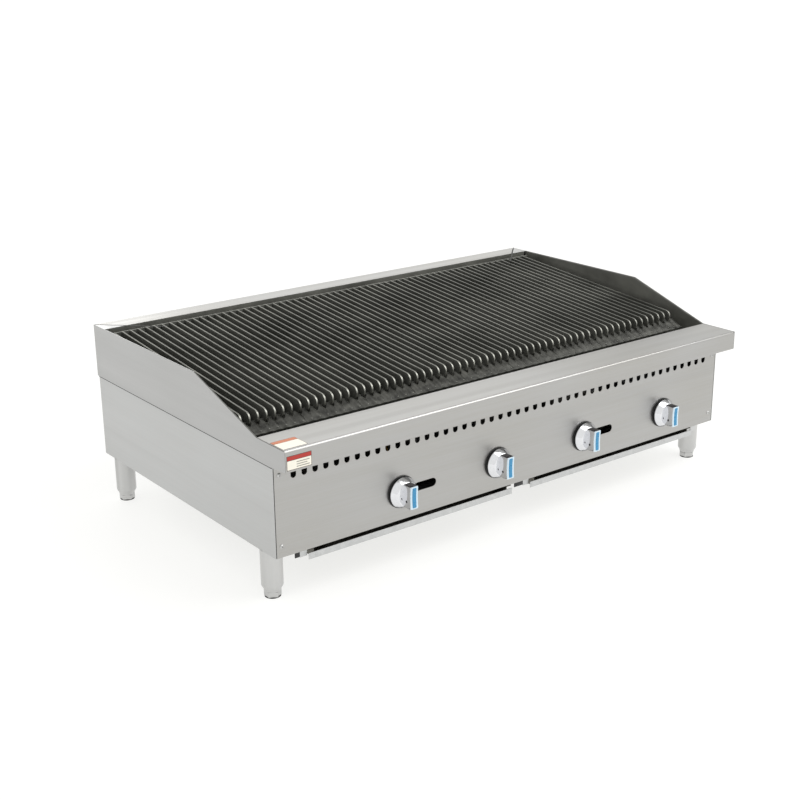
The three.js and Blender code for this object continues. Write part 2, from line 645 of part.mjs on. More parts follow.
// A tube that rises from its bell behind the valve, runs to the back, turns and comes forward again.
function burner(i) {
  const near = knobX(i);
  const far = near - 2 * KNOB_SHIFT;
  const turnY = REAR_LINER - BURNER_END_SPACE - BURNER_RADIUS - KNOB_SHIFT;
  const riseFrom = BELL_FRONT + RISE_FROM_BELL;
  const riseTo = riseFrom + RISE_LENGTH;
  const mid = (riseFrom + riseTo) / 2;
  const at = (y, z) => new THREE.Vector3(near, y, z);
  const rise = new THREE.CubicBezierCurve3(at(riseFrom, KNOB_HEIGHT), at(mid, KNOB_HEIGHT),
    at(mid, BURNER_HEIGHT), at(riseTo, BURNER_HEIGHT));
  const turn = arcPoints([near - KNOB_SHIFT, turnY], KNOB_SHIFT, BURNER_HEIGHT, 0, Math.PI, 8);
  const bell = turnedFront([[0, -BELL_LENGTH], [BURNER_RADIUS, -BELL_LENGTH], [BURNER_RADIUS, -BELL_FLARE],
    [BELL_RADIUS, 0], [BELL_RADIUS - BELL_RIM, 0], [BURNER_RADIUS - BELL_WALL, -BELL_DEPTH],
    [0, -BELL_DEPTH]], [near, BELL_FRONT, KNOB_HEIGHT]);
  return joined([
    bell,
    bent(rise, BURNER_RADIUS - BEND_SKIN, 6),
    rodY(BURNER_RADIUS, [near, BURNER_HEIGHT], riseTo - RUN_OVERLAP, turnY + RUN_OVERLAP),
    bent(new THREE.CatmullRomCurve3(turn, false, 'centripetal'), BURNER_RADIUS - BEND_SKIN, 10),
    rodY(BURNER_RADIUS, [far, BURNER_HEIGHT], BAFFLE_UPRIGHT + BURNER_FRONT_SPACE, turnY + RUN_OVERLAP),
  ]);
}

for (let i = 0; i < BURNERS; i += 1) {
  addNode(`radiant_${i + 1}`, radiant(burnerX(i)), 'castIron');
  addNode(`burner_${i + 1}`, burner(i), 'castIron');
}

// ---------------------------------------------------------------- gas train

const INLET_END = BACK - INLET_FROM_BACK;
const NIPPLE_FRONT = INLET_END - INLET_LENGTH;

// One pipe across the front, bent back along the right side to the inlet nipple.
function gasManifold() {
  const r = MANIFOLD_BEND;
  const corner = [SUPPLY_X - r, MANIFOLD_Y + r];
  const elbow = arcPoints(corner, r, MANIFOLD_Z, -Math.PI / 2, 0, 6);
  const across = rodY(MANIFOLD_RADIUS, [0, 0], MANIFOLD_END_SPACE - BODY_INNER, corner[0] + PAST)
    .rotate([0, 0, -90]).translate([0, MANIFOLD_Y, MANIFOLD_Z]);
  return joined([
    across,
    bent(new THREE.CatmullRomCurve3(elbow, false, 'centripetal'), MANIFOLD_RADIUS - BEND_SKIN, 8),
    rodY(MANIFOLD_RADIUS, [SUPPLY_X, MANIFOLD_Z], corner[1] - PAST, NIPPLE_FRONT - TOUCH_GAP),
  ]);
}
addNode('gas_manifold', gasManifold(), 'blackPipe');

function gasInlet() {
  const place = [SUPPLY_X, MANIFOLD_Z];
  const bore = rodY(INLET_BORE, place, NIPPLE_FRONT - PAST, INLET_END + PAST);
  return rodY(MANIFOLD_RADIUS, place, NIPPLE_FRONT, INLET_END).subtract(bore);
}
addNode('gas_inlet', gasInlet(), 'blackPipe');

function gasValve(x) {
  const place = [x, KNOB_HEIGHT];
  const neck = rodZ(VALVE_NECK_RADIUS, [x, MANIFOLD_Y], MANIFOLD_TOP, KNOB_HEIGHT, 12);
  const body = rodY(VALVE_RADIUS, place, VALVE_FRONT, HOOD_FRONT);
  const hood = rodY(HOOD_RADIUS, place, HOOD_FRONT - PAST, HOOD_FRONT + HOOD_LENGTH, 6);
  const bore = rodY(STEM_RADIUS + RUNNING_GAP, place, VALVE_FRONT - PAST, VALVE_FRONT + STEM_IN_VALVE);
  return joined([neck, body, hood]).subtract(bore);
}

const KNOB_BACK = PANEL - BEZEL_SPACE;
const GRIP_FRONT = KNOB_BACK - GRIP_TOP;

// A skirt with a flat-sided grip across it, on the stem that reaches into the valve.
function knob(x) {
  const skirt = turnedFront([[0, 0], [KNOB_RADIUS, 0], [KNOB_RADIUS, KNOB_RIM], [KNOB_FACE_RADIUS, KNOB_FACE],
    [0, KNOB_FACE]], [x, KNOB_BACK, KNOB_HEIGHT], 28);
  const halfWidth = GRIP_WIDTH / 2;
  const halfLength = GRIP_LENGTH / 2;
  const grip = block([x - halfWidth, GRIP_FRONT, KNOB_HEIGHT - halfLength],
    [x + halfWidth, KNOB_BACK - KNOB_FACE + PAST, KNOB_HEIGHT + halfLength]);
  const stemEnd = VALVE_FRONT + STEM_IN_VALVE - TOUCH_GAP;
  const stem = rodY(STEM_RADIUS, [x, KNOB_HEIGHT], KNOB_BACK - PAST, stemEnd);
  const w = INSERT_WIDTH / 2 + RUNNING_GAP;
  const l = INSERT_LENGTH / 2 + RUNNING_GAP;
  const pocket = block([x - w, GRIP_FRONT - PAST, KNOB_HEIGHT - l],
    [x + w, GRIP_FRONT + INSERT_DEPTH, KNOB_HEIGHT + l]);
  return joined([skirt, grip, stem]).subtract(pocket);
}

function knobInsert(x) {
  const w = INSERT_WIDTH / 2;
  const l = INSERT_LENGTH / 2;
  return block([x - w, GRIP_FRONT, KNOB_HEIGHT - l],
    [x + w, GRIP_FRONT + INSERT_DEPTH - TOUCH_GAP, KNOB_HEIGHT + l]);
}

for (let i = 0; i < BURNERS; i += 1) {
  const x = knobX(i);
  addNode(`gas_valve_${i + 1}`, gasValve(x), 'brass');
  addNode(`knob_${i + 1}`, knob(x), 'chrome');
  addNode(`knob_insert_${i + 1}`, knobInsert(x), 'bluePlastic');
}

// Each pilot stands behind its lighting slot and serves the burners on both sides of it.
function pilot(x) {
  const y = PANEL + PILOT_FROM_PANEL;
  const headFoot = PILOT_TOP - PILOT_HEAD;
  const start = MANIFOLD_TOP + PILOT_FITTING;
  const at = (along, z) => new THREE.Vector3(x, along, z);
  const tube = new THREE.CubicBezierCurve3(at(MANIFOLD_Y, start), at(MANIFOLD_Y, start + PILOT_SWEEP),
    at(y, headFoot - PILOT_SWEEP), at(y, headFoot));
  return joined([
    rodZ(PILOT_HOOD_RADIUS, [x, MANIFOLD_Y], MANIFOLD_TOP, start + PAST, 6),
    bent(tube, PILOT_RADIUS, 8, 6),
    rodZ(PILOT_HOOD_RADIUS, [x, y], headFoot - PAST, PILOT_TOP, 12),
  ]);
}
for (let i = 0; i < BURNERS; i += 2) {
  addNode(`pilot_${i / 2 + 1}`, pilot(knobX(i) + SLOT_FROM_KNOB), 'brass');
}

// ---------------------------------------------------------------- base frame and drip trays

const TRAY_OUTER = SIDE - TRAY_FROM_SIDE;           // outer end of a tray's lip
const TRAY_INNER = TRAY_SPACE / 2;
const TRAY_FRONT = PANEL - LIP_PROUD;
const TRAY_BACK = BACK - TRAY_REAR_SPACE;
const TRAY_BOTTOM = LEG_HEIGHT - TRAY_DROP;
const TRAY_RIM = LEG_HEIGHT - TRAY_CLEARANCE;
const TRAY_LIP_TOP = LEG_HEIGHT - LIP_DROP;
const SHELF_TOP = TRAY_RIM - SHEET - TOUCH_GAP;
const RAIL_TOP = FRAME_BOTTOM - TOUCH_GAP;
const RAIL_FRONT = PANEL + RAIL_SET_BACK;

function legPlaces() {
  const x = SIDE - LEG_FROM_SIDE;
  const front = PANEL + FRONT_LEG_FROM_PANEL;
  const rear = BACK - REAR_LEG_FROM_BACK;
  return [
    ['front_left', -x, front],
    ['front_right', x, front],
    ['rear_left', -x, rear],
    ['rear_right', x, rear],
  ];
}

// An angle across the body, with its upright at the outer edge and a hole for each leg's stud.
function crossAngle(outer, inner, uprightInner) {
  const s = FRAME_SIDE;
  const span = (a, b) => [Math.min(a, b), Math.max(a, b)];
  const [flangeFrom, flangeTo] = span(outer, inner);
  const [uprightFrom, uprightTo] = span(outer, uprightInner);
  let angle = joined([
    block([-s, flangeFrom, FRAME_BOTTOM], [s, flangeTo, FRAME_TOP]),
    block([-s, uprightFrom, FRAME_BOTTOM], [s, uprightTo, FRAME_BOTTOM + FRAME_WEB]),
  ]);
  for (const [, x, y] of legPlaces()) {
    const hole = rodZ(LEG_STUD_RADIUS + RUNNING_GAP, [x, y], FRAME_BOTTOM - PAST, FRAME_TOP + PAST);
    angle = angle.subtract(hole);
  }
  return angle;
}
const ANGLE_FRONT = FRAME_FRONT + FRAME_FLANGE;
const ANGLE_BACK = FRAME_BACK - FRAME_FLANGE;
addNode('front_frame_angle', crossAngle(FRAME_FRONT, ANGLE_FRONT, FRAME_FRONT + FRAME_SHEET), 'galvanised');
addNode('rear_frame_angle', crossAngle(FRAME_BACK, ANGLE_BACK, FRAME_BACK - FRAME_SHEET).subtract(inletHole()),
  'galvanised');

// A side member between the two angles; its inner edge turns down into a rail for the tray's outer flange.
addPair('frame_rail', () => {
  const from = ANGLE_FRONT + TOUCH_GAP;
  const to = ANGLE_BACK - TOUCH_GAP;
  const web = TRAY_OUTER + TRAY_SIDE_PLAY;
  const shelf = TRAY_OUTER - TRAY_FLANGE + SHEET + TRAY_SIDE_PLAY;
  const low = SHELF_TOP - SHEET;
  return joined([
    block([web, from, FRAME_BOTTOM], [FRAME_SIDE, to, FRAME_TOP]),
    block([FRAME_SIDE - FRAME_SHEET, from, FRAME_BOTTOM], [FRAME_SIDE, to, FRAME_BOTTOM + FRAME_WEB]),
    block([web, from, low], [web + SHEET, to, FRAME_TOP]),
    block([web, RAIL_FRONT, low], [web + SHEET, FRAME_BACK, RAIL_TOP]),
    block([shelf, FRAME_FRONT, low], [web + SHEET, FRAME_BACK, SHELF_TOP]),
    block([web, RAIL_FRONT, LEG_HEIGHT - RAIL_TAB_DROP], [web + RAIL_TAB, RAIL_FRONT + SHEET, RAIL_TOP]),
  ]);
}, 'galvanised');

// The hat section that hangs between the trays and carries their inner flanges.
function trayDivider() {
  const web = TRAY_INNER - TRAY_SIDE_PLAY;
  const shelf = TRAY_INNER + TRAY_FLANGE - SHEET - TRAY_SIDE_PLAY;
  const top = RAIL_TOP;
  const low = SHELF_TOP - SHEET;
  const shape = outline([
    [-shelf, low], [-web + SHEET, low], [-web + SHEET, top - SHEET], [web - SHEET, top - SHEET],
    [web - SHEET, low], [shelf, low], [shelf, SHELF_TOP], [web, SHELF_TOP], [web, top], [-web, top],
    [-web, SHELF_TOP], [-shelf, SHELF_TOP],
  ]);
  return joined([
    alongY(shape, FRAME_FRONT, FRAME_BACK),
    block([web - SHEET, RAIL_FRONT, low], [web, FRAME_FRONT + PAST, top]),
    block([web - RAIL_TAB, RAIL_FRONT, LEG_HEIGHT - RAIL_TAB_DROP], [web, RAIL_FRONT + SHEET, top]),
  ]);
}
addNode('tray_divider', trayDivider(), 'galvanised');

// A shallow pan hung by its side flanges, with a low front wall to pull it by.
addPair('drip_tray', () => {
  const a = TRAY_INNER;
  const b = TRAY_OUTER;
  const wall = TRAY_FLANGE;
  const inFront = TRAY_FRONT + SHEET;
  const pan = block([a + wall, TRAY_FRONT + SHEET / 2, TRAY_BOTTOM], [b - wall, TRAY_BACK, TRAY_RIM]);
  const flange = block([a, PANEL + SHEET, TRAY_RIM - SHEET], [b, TRAY_BACK, TRAY_RIM]);
  const lip = block([a, TRAY_FRONT, TRAY_BOTTOM], [b, inFront, TRAY_LIP_TOP]);
  const hollow = block([a + wall + SHEET, inFront, TRAY_BOTTOM + SHEET],
    [b - wall - SHEET, TRAY_BACK - SHEET, TRAY_RIM + PAST]);
  const mouth = block([a - PAST, TRAY_FRONT - PAST, TRAY_LIP_TOP], [b + PAST, PANEL + SHEET, TRAY_RIM + PAST]);
  return joined([pan, flange]).subtract(mouth).add(lip).subtract(hollow);
}, 'galvanised');

// ---------------------------------------------------------------- legs and feet

const STUD_TOP = LEG_HEIGHT - LEG_CAP - TOUCH_GAP;

function leg(x, y) {
  const bore = FOOT_STUD_RADIUS + RUNNING_GAP;
  const boreTop = STUD_TOP + TOUCH_GAP;
  const seat = FOOT_VISIBLE + TOUCH_GAP;
  return turnedZ([[0, boreTop], [bore, boreTop], [bore, seat], [LEG_NECK_RADIUS, seat],
    [LEG_RADIUS, seat + LEG_TAPER], [LEG_RADIUS, LEG_HEIGHT], [LEG_STUD_RADIUS, LEG_HEIGHT],
    [LEG_STUD_RADIUS, LEG_HEIGHT + LEG_STUD], [0, LEG_HEIGHT + LEG_STUD]], [x, y, 0], 20);
}

function foot(x, y) {
  const corner = FOOT_ACROSS_CORNERS / 2;
  const hexagon = turnedZ([[0, 0], [corner - FOOT_CHAMFER, 0], [corner, FOOT_CHAMFER], [corner, FOOT_VISIBLE],
    [0, FOOT_VISIBLE]], [x, y, 0], 6);
  return hexagon.add(rodZ(FOOT_STUD_RADIUS, [x, y], FOOT_VISIBLE - PAST, STUD_TOP));
}

for (const [place, x, y] of legPlaces()) {
  addNode(`${place}_leg`, leg(x, y), 'brushedSteel');
  addNode(`${place}_foot`, foot(x, y), 'brushedSteel');
}

export default grill;
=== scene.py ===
# %% [markdown]
# # A countertop gas charbroiler
#
# The grill is a shallow firebox of folded stainless sheet with a row of loose cast-iron grates on top,
# four burners inside, a control panel at the front, two pull-out drip trays and four adjustable legs.
# The mechanical model is already fixed: it gives every part's place and every moving part's body.
# This notebook dresses that model. Where a sheet part's shape is right, it gets eased edges and a finish;
# where the real part is a casting, a moulding or a turned piece, a new mesh is made in its place.

# %% The fixed frame
import json
import math

import bmesh
import bpy
from mathutils import Matrix, Vector

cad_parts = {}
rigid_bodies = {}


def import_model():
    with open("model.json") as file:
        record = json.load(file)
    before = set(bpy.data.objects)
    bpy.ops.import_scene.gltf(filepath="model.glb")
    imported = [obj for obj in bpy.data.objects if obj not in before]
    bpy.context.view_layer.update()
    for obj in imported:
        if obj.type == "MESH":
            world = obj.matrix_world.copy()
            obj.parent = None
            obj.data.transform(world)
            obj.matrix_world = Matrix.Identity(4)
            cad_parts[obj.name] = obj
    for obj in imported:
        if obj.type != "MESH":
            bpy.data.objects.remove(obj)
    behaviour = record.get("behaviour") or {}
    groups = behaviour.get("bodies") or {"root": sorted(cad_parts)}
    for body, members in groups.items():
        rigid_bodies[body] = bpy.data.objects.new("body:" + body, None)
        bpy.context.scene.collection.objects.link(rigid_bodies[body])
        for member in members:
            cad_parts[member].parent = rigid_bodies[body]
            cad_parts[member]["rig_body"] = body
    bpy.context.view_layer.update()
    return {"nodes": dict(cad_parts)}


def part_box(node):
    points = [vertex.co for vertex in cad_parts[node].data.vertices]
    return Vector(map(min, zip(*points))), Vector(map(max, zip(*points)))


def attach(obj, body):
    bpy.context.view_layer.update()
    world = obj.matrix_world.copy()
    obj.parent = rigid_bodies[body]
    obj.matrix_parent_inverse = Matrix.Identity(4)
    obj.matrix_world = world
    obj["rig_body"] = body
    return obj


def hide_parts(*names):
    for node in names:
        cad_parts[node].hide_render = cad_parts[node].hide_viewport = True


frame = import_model()
MM = 0.001
scene = bpy.context.scene
print("parts in the frame:", len(frame["nodes"]))

# %% [markdown]
# ## Camera
# A product picture of a wide, low unit is taken from its front left corner, a little above it, with a
# lens longer than normal so that the far end does not shrink too much. The camera is placed by its
# bearing, its height angle and its small roll, and the three axes of its matrix follow from those.

# %% Camera
CAMERA_PLACE = Vector((-1.7668, -2.2287, 1.1552))
CAMERA_AZIMUTH = math.radians(-37.355)
CAMERA_ELEVATION = math.radians(18.695)
CAMERA_ROLL = math.radians(-0.560)
CAMERA_LENS = 59.79


def make_camera():
    level = math.cos(CAMERA_ELEVATION)
    height = math.sin(CAMERA_ELEVATION)
    back = Vector((math.sin(CAMERA_AZIMUTH) * level, -math.cos(CAMERA_AZIMUTH) * level, height))
    right = (-back).cross(Vector((0, 0, 1))).normalized()
    up = right.cross(-back)
    turned_right = right * math.cos(CAMERA_ROLL) + up * math.sin(CAMERA_ROLL)
    turned_up = up * math.cos(CAMERA_ROLL) - right * math.sin(CAMERA_ROLL)
    data = bpy.data.cameras.new("camera")
    data.lens = CAMERA_LENS
    data.sensor_width = 36
    data.clip_end = 100
    camera = bpy.data.objects.new("camera", data)
    turn = Matrix((turned_right, turned_up, back)).transposed().to_4x4()
    camera.matrix_world = Matrix.Translation(CAMERA_PLACE) @ turn
    scene.collection.objects.link(camera)
    scene.camera = camera


make_camera()
scene.view_settings.view_transform = "Standard"
scene.view_settings.look = "None"
print("camera stands at", [round(v, 2) for v in CAMERA_PLACE])

# %% [markdown]
# ## Colour and nodes
# Finish colours are written as sRGB hex, as a paint chart gives them, while shaders work in linear
# light, so one function converts them. A second function adds a node with its values and its links:
# every finish below is a short chain of such nodes on the object's own coordinates, in metres.


# %% Colour
def linear(code):
    """An sRGB hex colour as linear red, green, blue and alpha."""
    shares = [int(code[i:i + 2], 16) / 255 for i in (0, 2, 4)]
    return [s / 12.92 if s <= 0.04045 else ((s + 0.055) / 1.055) ** 2.4 for s in shares] + [1]


print("middle grey in linear light:", round(linear("808080")[0], 3))


# %% Node helpers
def add_node(material, kind, values=None, links=None, **settings):
    """One node with its settings, its input values and the outputs that feed its inputs."""
    node = material.node_tree.nodes.new(kind)
    for key, value in settings.items():
        setattr(node, key, value)
    for key, value in (values or {}).items():
        node.inputs[key].default_value = value
    for key, output in (links or {}).items():
        material.node_tree.links.new(output, node.inputs[key])
    return node


def new_material(name, **values):
    """A material with its shader's own values, written with _ for the spaces in their names."""
    material = bpy.data.materials.new(name)
    material.use_nodes = True
    shader = material.node_tree.nodes["Principled BSDF"]
    for key, value in values.items():
        shader.inputs[key.replace("_", " ")].default_value = value
    return material, shader


def feed(material, shader, **sources):
    """Links patterns and colours to the shader's inputs, named with _ for their spaces."""
    for key, source in sources.items():
        material.node_tree.links.new(source, shader.inputs[key.replace("_", " ")])


print("node helpers ready")


# %% Pattern helpers
def pattern(material, spacing, detail=2, turned=(0, 0, 0), roughness=0.5):
    """Noise with its own spacing in millimetres along X, Y and Z; the output runs from 0 to 1."""
    place = add_node(material, "ShaderNodeTexCoord")
    scale = [1 / (s * MM) for s in spacing]
    mapped = add_node(material, "ShaderNodeMapping", {"Scale": scale, "Rotation": turned},
                      {"Vector": place.outputs["Object"]})
    noise = add_node(material, "ShaderNodeTexNoise", {"Scale": 1, "Detail": detail, "Roughness": roughness},
                     {"Vector": mapped.outputs["Vector"]})
    return noise.outputs["Fac"]


def ranged(material, source, low, high, start=0.3, end=0.7):
    """Stretches a pattern so that start to end becomes low to high."""
    node = add_node(material, "ShaderNodeMapRange",
                    {"From Min": start, "From Max": end, "To Min": low, "To Max": high}, {"Value": source})
    return node.outputs["Result"]


def blended(material, source, first, second):
    """A colour between two, following a pattern."""
    node = add_node(material, "ShaderNodeMix", data_type="RGBA")
    for socket, value in (("A", first), ("B", second)):
        colours = [i for i in node.inputs if i.name == socket and i.type == "RGBA"]
        colours[0].default_value = value
    material.node_tree.links.new(source, node.inputs["Factor"])
    return [o for o in node.outputs if o.type == "RGBA"][0]


def bumped(material, shader, source, height, strength):
    """Turns a pattern into surface relief of that height in millimetres."""
    node = add_node(material, "ShaderNodeBump", {"Distance": height * MM, "Strength": strength},
                    {"Height": source})
    material.node_tree.links.new(node.outputs["Normal"], shader.inputs["Normal"])


print("pattern helpers ready")

# %% [markdown]
# ## Brushed stainless steel
# The case is 430-grade stainless sheet, brushed with an abrasive belt along the length of each panel.
# The belt leaves fine scratches, so the sheet reflects softly across the grain. Real scratches are
# about 0.1 mm apart, too fine to see on a whole unit, so the grain is drawn 2.5 mm apart and faint.
# Wide, slow changes of tone stand for the rolling of the sheet and for wiping marks.

# %% Brushed stainless steel
GRAIN_ACROSS = 2.5
GRAIN_ALONG = 140
ROLLING_CLOUDS = (260, 260, 200)
WIPE_WIDTH = 9
# The wide bands painted on the tubes as shading are this far apart, in mm.
TUBE_PAINTED_SHADE_BANDS = (22, 22, 600)


def brushed_steel(name, grain, light, dark, low=0.30, high=0.42):
    """Belt-brushed stainless; grain is the spacing of its scratches along X, Y and Z, in millimetres."""
    material, shader = new_material(name, Metallic=1)
    scratches = pattern(material, grain, detail=3)
    clouds = pattern(material, ROLLING_CLOUDS, detail=1)
    wipes = pattern(material, [g * WIPE_WIDTH for g in grain], detail=2)
    tone = add_node(material, "ShaderNodeMath", {1: 0.5}, {0: clouds}, operation="MULTIPLY")
    mixed = add_node(material, "ShaderNodeMath", {1: 0.5}, {0: scratches, 2: tone.outputs[0]},
                     operation="MULTIPLY_ADD")
    share = ranged(material, mixed.outputs[0], 0, 1, 0.2, 0.8)
    colour = blended(material, share, linear(dark), linear(light))
    feed(material, shader, Base_Color=colour, Roughness=ranged(material, wipes, low, high))
    bumped(material, shader, scratches, 0.05, 0.12)
    return material


along_x = (GRAIN_ALONG, GRAIN_ACROSS, GRAIN_ACROSS)
along_y = (GRAIN_ACROSS, GRAIN_ALONG, GRAIN_ACROSS)
# Brushed lengthwise: long faint streaks, slightly warm where the sheet is darker.
front_steel = brushed_steel("brushed_stainless_lengthwise", along_x, "b4b4b4", "acaaa5")
# The lower sides are brushed from front to back and look the palest of the flat panels; that paler colour
# is painted light, for the light falling on the sides more than on the front.
side_steel_painted_lighter = brushed_steel("brushed_stainless_front_to_back_painted_lighter", along_y, "bfc0c0", "b8b8b7")
# The splashes are of another sheet, a shade darker and quite neutral.
splash_steel = brushed_steel("brushed_stainless_splash", along_y, "b6b6b6", "b0b0af")
# A drawn tube is satin, with long streaks up its length that gleam a little more than the sheet; the streaks
# are wide light and dark bands, painted shading for the light and shade round the tube.
tube_steel_painted_shade_bands = brushed_steel("satin_stainless_tube_painted_shade_bands", TUBE_PAINTED_SHADE_BANDS, "d2d2d1", "aeaead", 0.26, 0.36)
print("brushed finishes:", front_steel.name, side_steel_painted_lighter.name, tube_steel_painted_shade_bands.name)

# %% [markdown]
# ## Firebox steel painted dark, zinc and pipe
# Inside the firebox the same steel is painted dull and dark, as painted shade inside the firebox and a
# painted reflection of the dark grates, with cloudy patches and no bright grain. Hidden brackets and trays
# are galvanised sheet, whose zinc sets in crystals, called spangle, about 8 mm wide. The gas pipe is steel
# with a black lacquer, sprayed, so it has fine orange-peel relief.

# %% Firebox steel painted dark, zinc and pipe
SPANGLE = 8


def firebox_painted_shade_steel():
    """Stainless sheet painted dark, for painted shade and the painted reflection of the dark grates: dull,
    partly metal, in soft clouds.
    """
    material, shader = new_material("firebox_stainless_painted_shade", Metallic=0.35)
    soot = pattern(material, (70, 70, 45), detail=4, roughness=0.6)
    grain = pattern(material, (60, 3, 3), detail=2)
    colour = blended(material, ranged(material, soot, 0, 1), linear("585853"), linear("70706a"))
    feed(material, shader, Base_Color=colour, Roughness=ranged(material, soot, 0.42, 0.62))
    bumped(material, shader, grain, 0.06, 0.3)
    return material


def galvanised_steel():
    """Hot-dipped sheet: each crystal of zinc has its own shade and gloss, so the sheet glitters softly."""
    material, shader = new_material("galvanised_sheet", Metallic=1)
    place = add_node(material, "ShaderNodeTexCoord")
    spangle = add_node(material, "ShaderNodeTexVoronoi", {"Scale": 1 / (SPANGLE * MM)},
                       {"Vector": place.outputs["Object"]})
    shade = add_node(material, "ShaderNodeSeparateColor", links={"Color": spangle.outputs["Color"]})
    colour = blended(material, shade.outputs[0], linear("c0c1c1"), linear("c8c9c9"))
    feed(material, shader, Base_Color=colour, Roughness=ranged(material, shade.outputs[1], 0.34, 0.5, 0, 1))
    bumped(material, shader, pattern(material, (4, 4, 4), detail=2), 0.05, 0.2)
    return material


def lacquered_pipe():
    """Sprayed black lacquer on pipe: a smooth dark gloss broken by fine orange peel."""
    material, shader = new_material("black_lacquered_pipe", Metallic=0)
    peel = pattern(material, (2.5, 2.5, 2.5), detail=2)
    feed(material, shader, Base_Color=blended(material, peel, linear("1c1d1e"), linear("2b2c2e")),
         Roughness=ranged(material, peel, 0.3, 0.45))
    bumped(material, shader, peel, 0.1, 0.3)
    return material


def zinc_with_grease_and_painted_shade():
    """The inside of a drip tray: zinc under a thin brown film of old grease, glossy where it is thick, and
    painted darker as the shade inside the tray under the body.
    """
    material, shader = new_material("grease_zinc_and_painted_shade", Metallic=0.6)
    grease = pattern(material, (40, 40, 25), detail=4)
    colour = blended(material, ranged(material, grease, 0, 1), linear("5b5953"), linear("7b7972"))
    feed(material, shader, Base_Color=colour, Roughness=ranged(material, grease, 0.35, 0.6))
    bumped(material, shader, grease, 0.2, 0.25)
    return material


firebox_steel = firebox_painted_shade_steel()
tray_grease_and_painted_shade = zinc_with_grease_and_painted_shade()
zinc = galvanised_steel()
pipe_black = lacquered_pipe()
print("inner finishes:", firebox_steel.name, zinc.name, pipe_black.name)

# %% [markdown]
# ## Cast iron
# Grates, burners and radiants are sand cast. The sand leaves a grain of about half a millimetre, drawn
# here 1.5 mm wide so that it shows. The iron is almost black with baked oil, in patches about 200 mm
# wide, and only the ridges and the noses of the bars, which scrapers and tongs touch, are rubbed to a
# lighter grey; that lighter grey is also a painted highlight along the ridges and painted light on the
# lit fronts of the noses. Baked oil is not metal to the eye, so seasoned iron has no metallic share, while
# worn ridges are bare metal. The apron catches the fat, so it gleams in small spots.

# %% Cast iron
SAND_GRAIN = 1.5


def cast_iron(name, dark, light, low, high, relief, metal=0, patches=(220, 150, 150)):
    """Sand-cast iron; patches is the spacing of the oil's darker and lighter areas."""
    material, shader = new_material(name, Metallic=metal)
    sand = pattern(material, (SAND_GRAIN, SAND_GRAIN, SAND_GRAIN), detail=3, roughness=0.65)
    oil = pattern(material, patches, detail=3)
    mixed = add_node(material, "ShaderNodeMath", {1: 0.45}, {0: sand, 2: oil}, operation="MULTIPLY_ADD")
    share = ranged(material, mixed.outputs[0], 0, 1, 0.5, 0.95)
    colour = blended(material, share, linear(dark), linear(light))
    feed(material, shader, Base_Color=colour, Roughness=ranged(material, oil, low, high))
    bumped(material, shader, sand, 0.35, relief)
    return material


seasoned_iron = cast_iron("cast_iron_seasoned", "363732", "555550", 0.48, 0.68, 0.5)
apron_iron = cast_iron("cast_iron_apron", "30302d", "5c5c57", 0.3, 0.46, 0.4, 0.4, (26, 14, 14))
# Ridges and noses: lighter for wear, and also a painted highlight and painted light where the light falls.
ridge_iron_wear_and_highlight = cast_iron("cast_iron_ridge_wear_and_painted_highlight", "62625d", "96968f", 0.42, 0.55, 0.3, 1)
rubbed_iron_and_painted_light = cast_iron("cast_iron_rubbed_nose_and_painted_light", "90908a", "b0b0a8", 0.38, 0.5, 0.2, 1)
burner_iron = cast_iron("cast_iron_burner", "2b2a28", "3b3a37", 0.55, 0.72, 0.5)
irons = [seasoned_iron, rubbed_iron_and_painted_light, apron_iron, ridge_iron_wear_and_highlight]
print("cast irons:", [iron.name for iron in irons + [burner_iron]])

# %% [markdown]
# ## Knob, valve and label finishes
# The knobs are ABS plated with bright chrome; the pointer on each is a pale translucent ABS frame
# round a blue strip, and a black phenolic ring sits behind. Chrome is the only mirror on the unit, so it
# shows both white and black. Valves and pilots are brass from the lathe, warm and satin. The decals are
# printed polyester film with a slight gloss, left without words.

# %% Knob, valve and label finishes
def moulded(name, first, second, low, high, spacing=6, height=0.04, **values):
    """A smooth moulding with a faint mottle and soft sink marks."""
    material, shader = new_material(name, **values)
    mottle = pattern(material, (spacing, spacing, spacing), detail=2)
    feed(material, shader, Base_Color=blended(material, mottle, linear(first), linear(second)),
         Roughness=ranged(material, mottle, low, high))
    bumped(material, shader, mottle, height, 0.3)
    return material


bright_chrome = moulded("chrome_plated_abs", "d9dadd", "e7e8eb", 0.08, 0.16, 9, 0.03, Metallic=1)
brass_turned = moulded("turned_brass", "a8874a", "c09a57", 0.26, 0.4, 3, 0.04, Metallic=1)
blue_abs = moulded("blue_abs", "2c7aa6", "408eb9", 0.24, 0.36, 5)
pale_abs = moulded("pale_translucent_abs", "bdd2df", "d3e3ec", 0.2, 0.3, 5)
# Black for the knob rings; the same black is painted shade under the feet and at the channel ends.
black_phenolic_and_painted_shade = moulded("black_phenolic_and_painted_shade", "101011", "1a1a1b", 0.28, 0.42, 4)
# Dark moulding for the grub screws, and for the grip's top and bottom ends as a painted dark reflection.
grip_end_reflection_and_screw_black = moulded("dark_moulding_painted_reflection_and_screw", "151216", "201c22", 0.26, 0.38, 4)
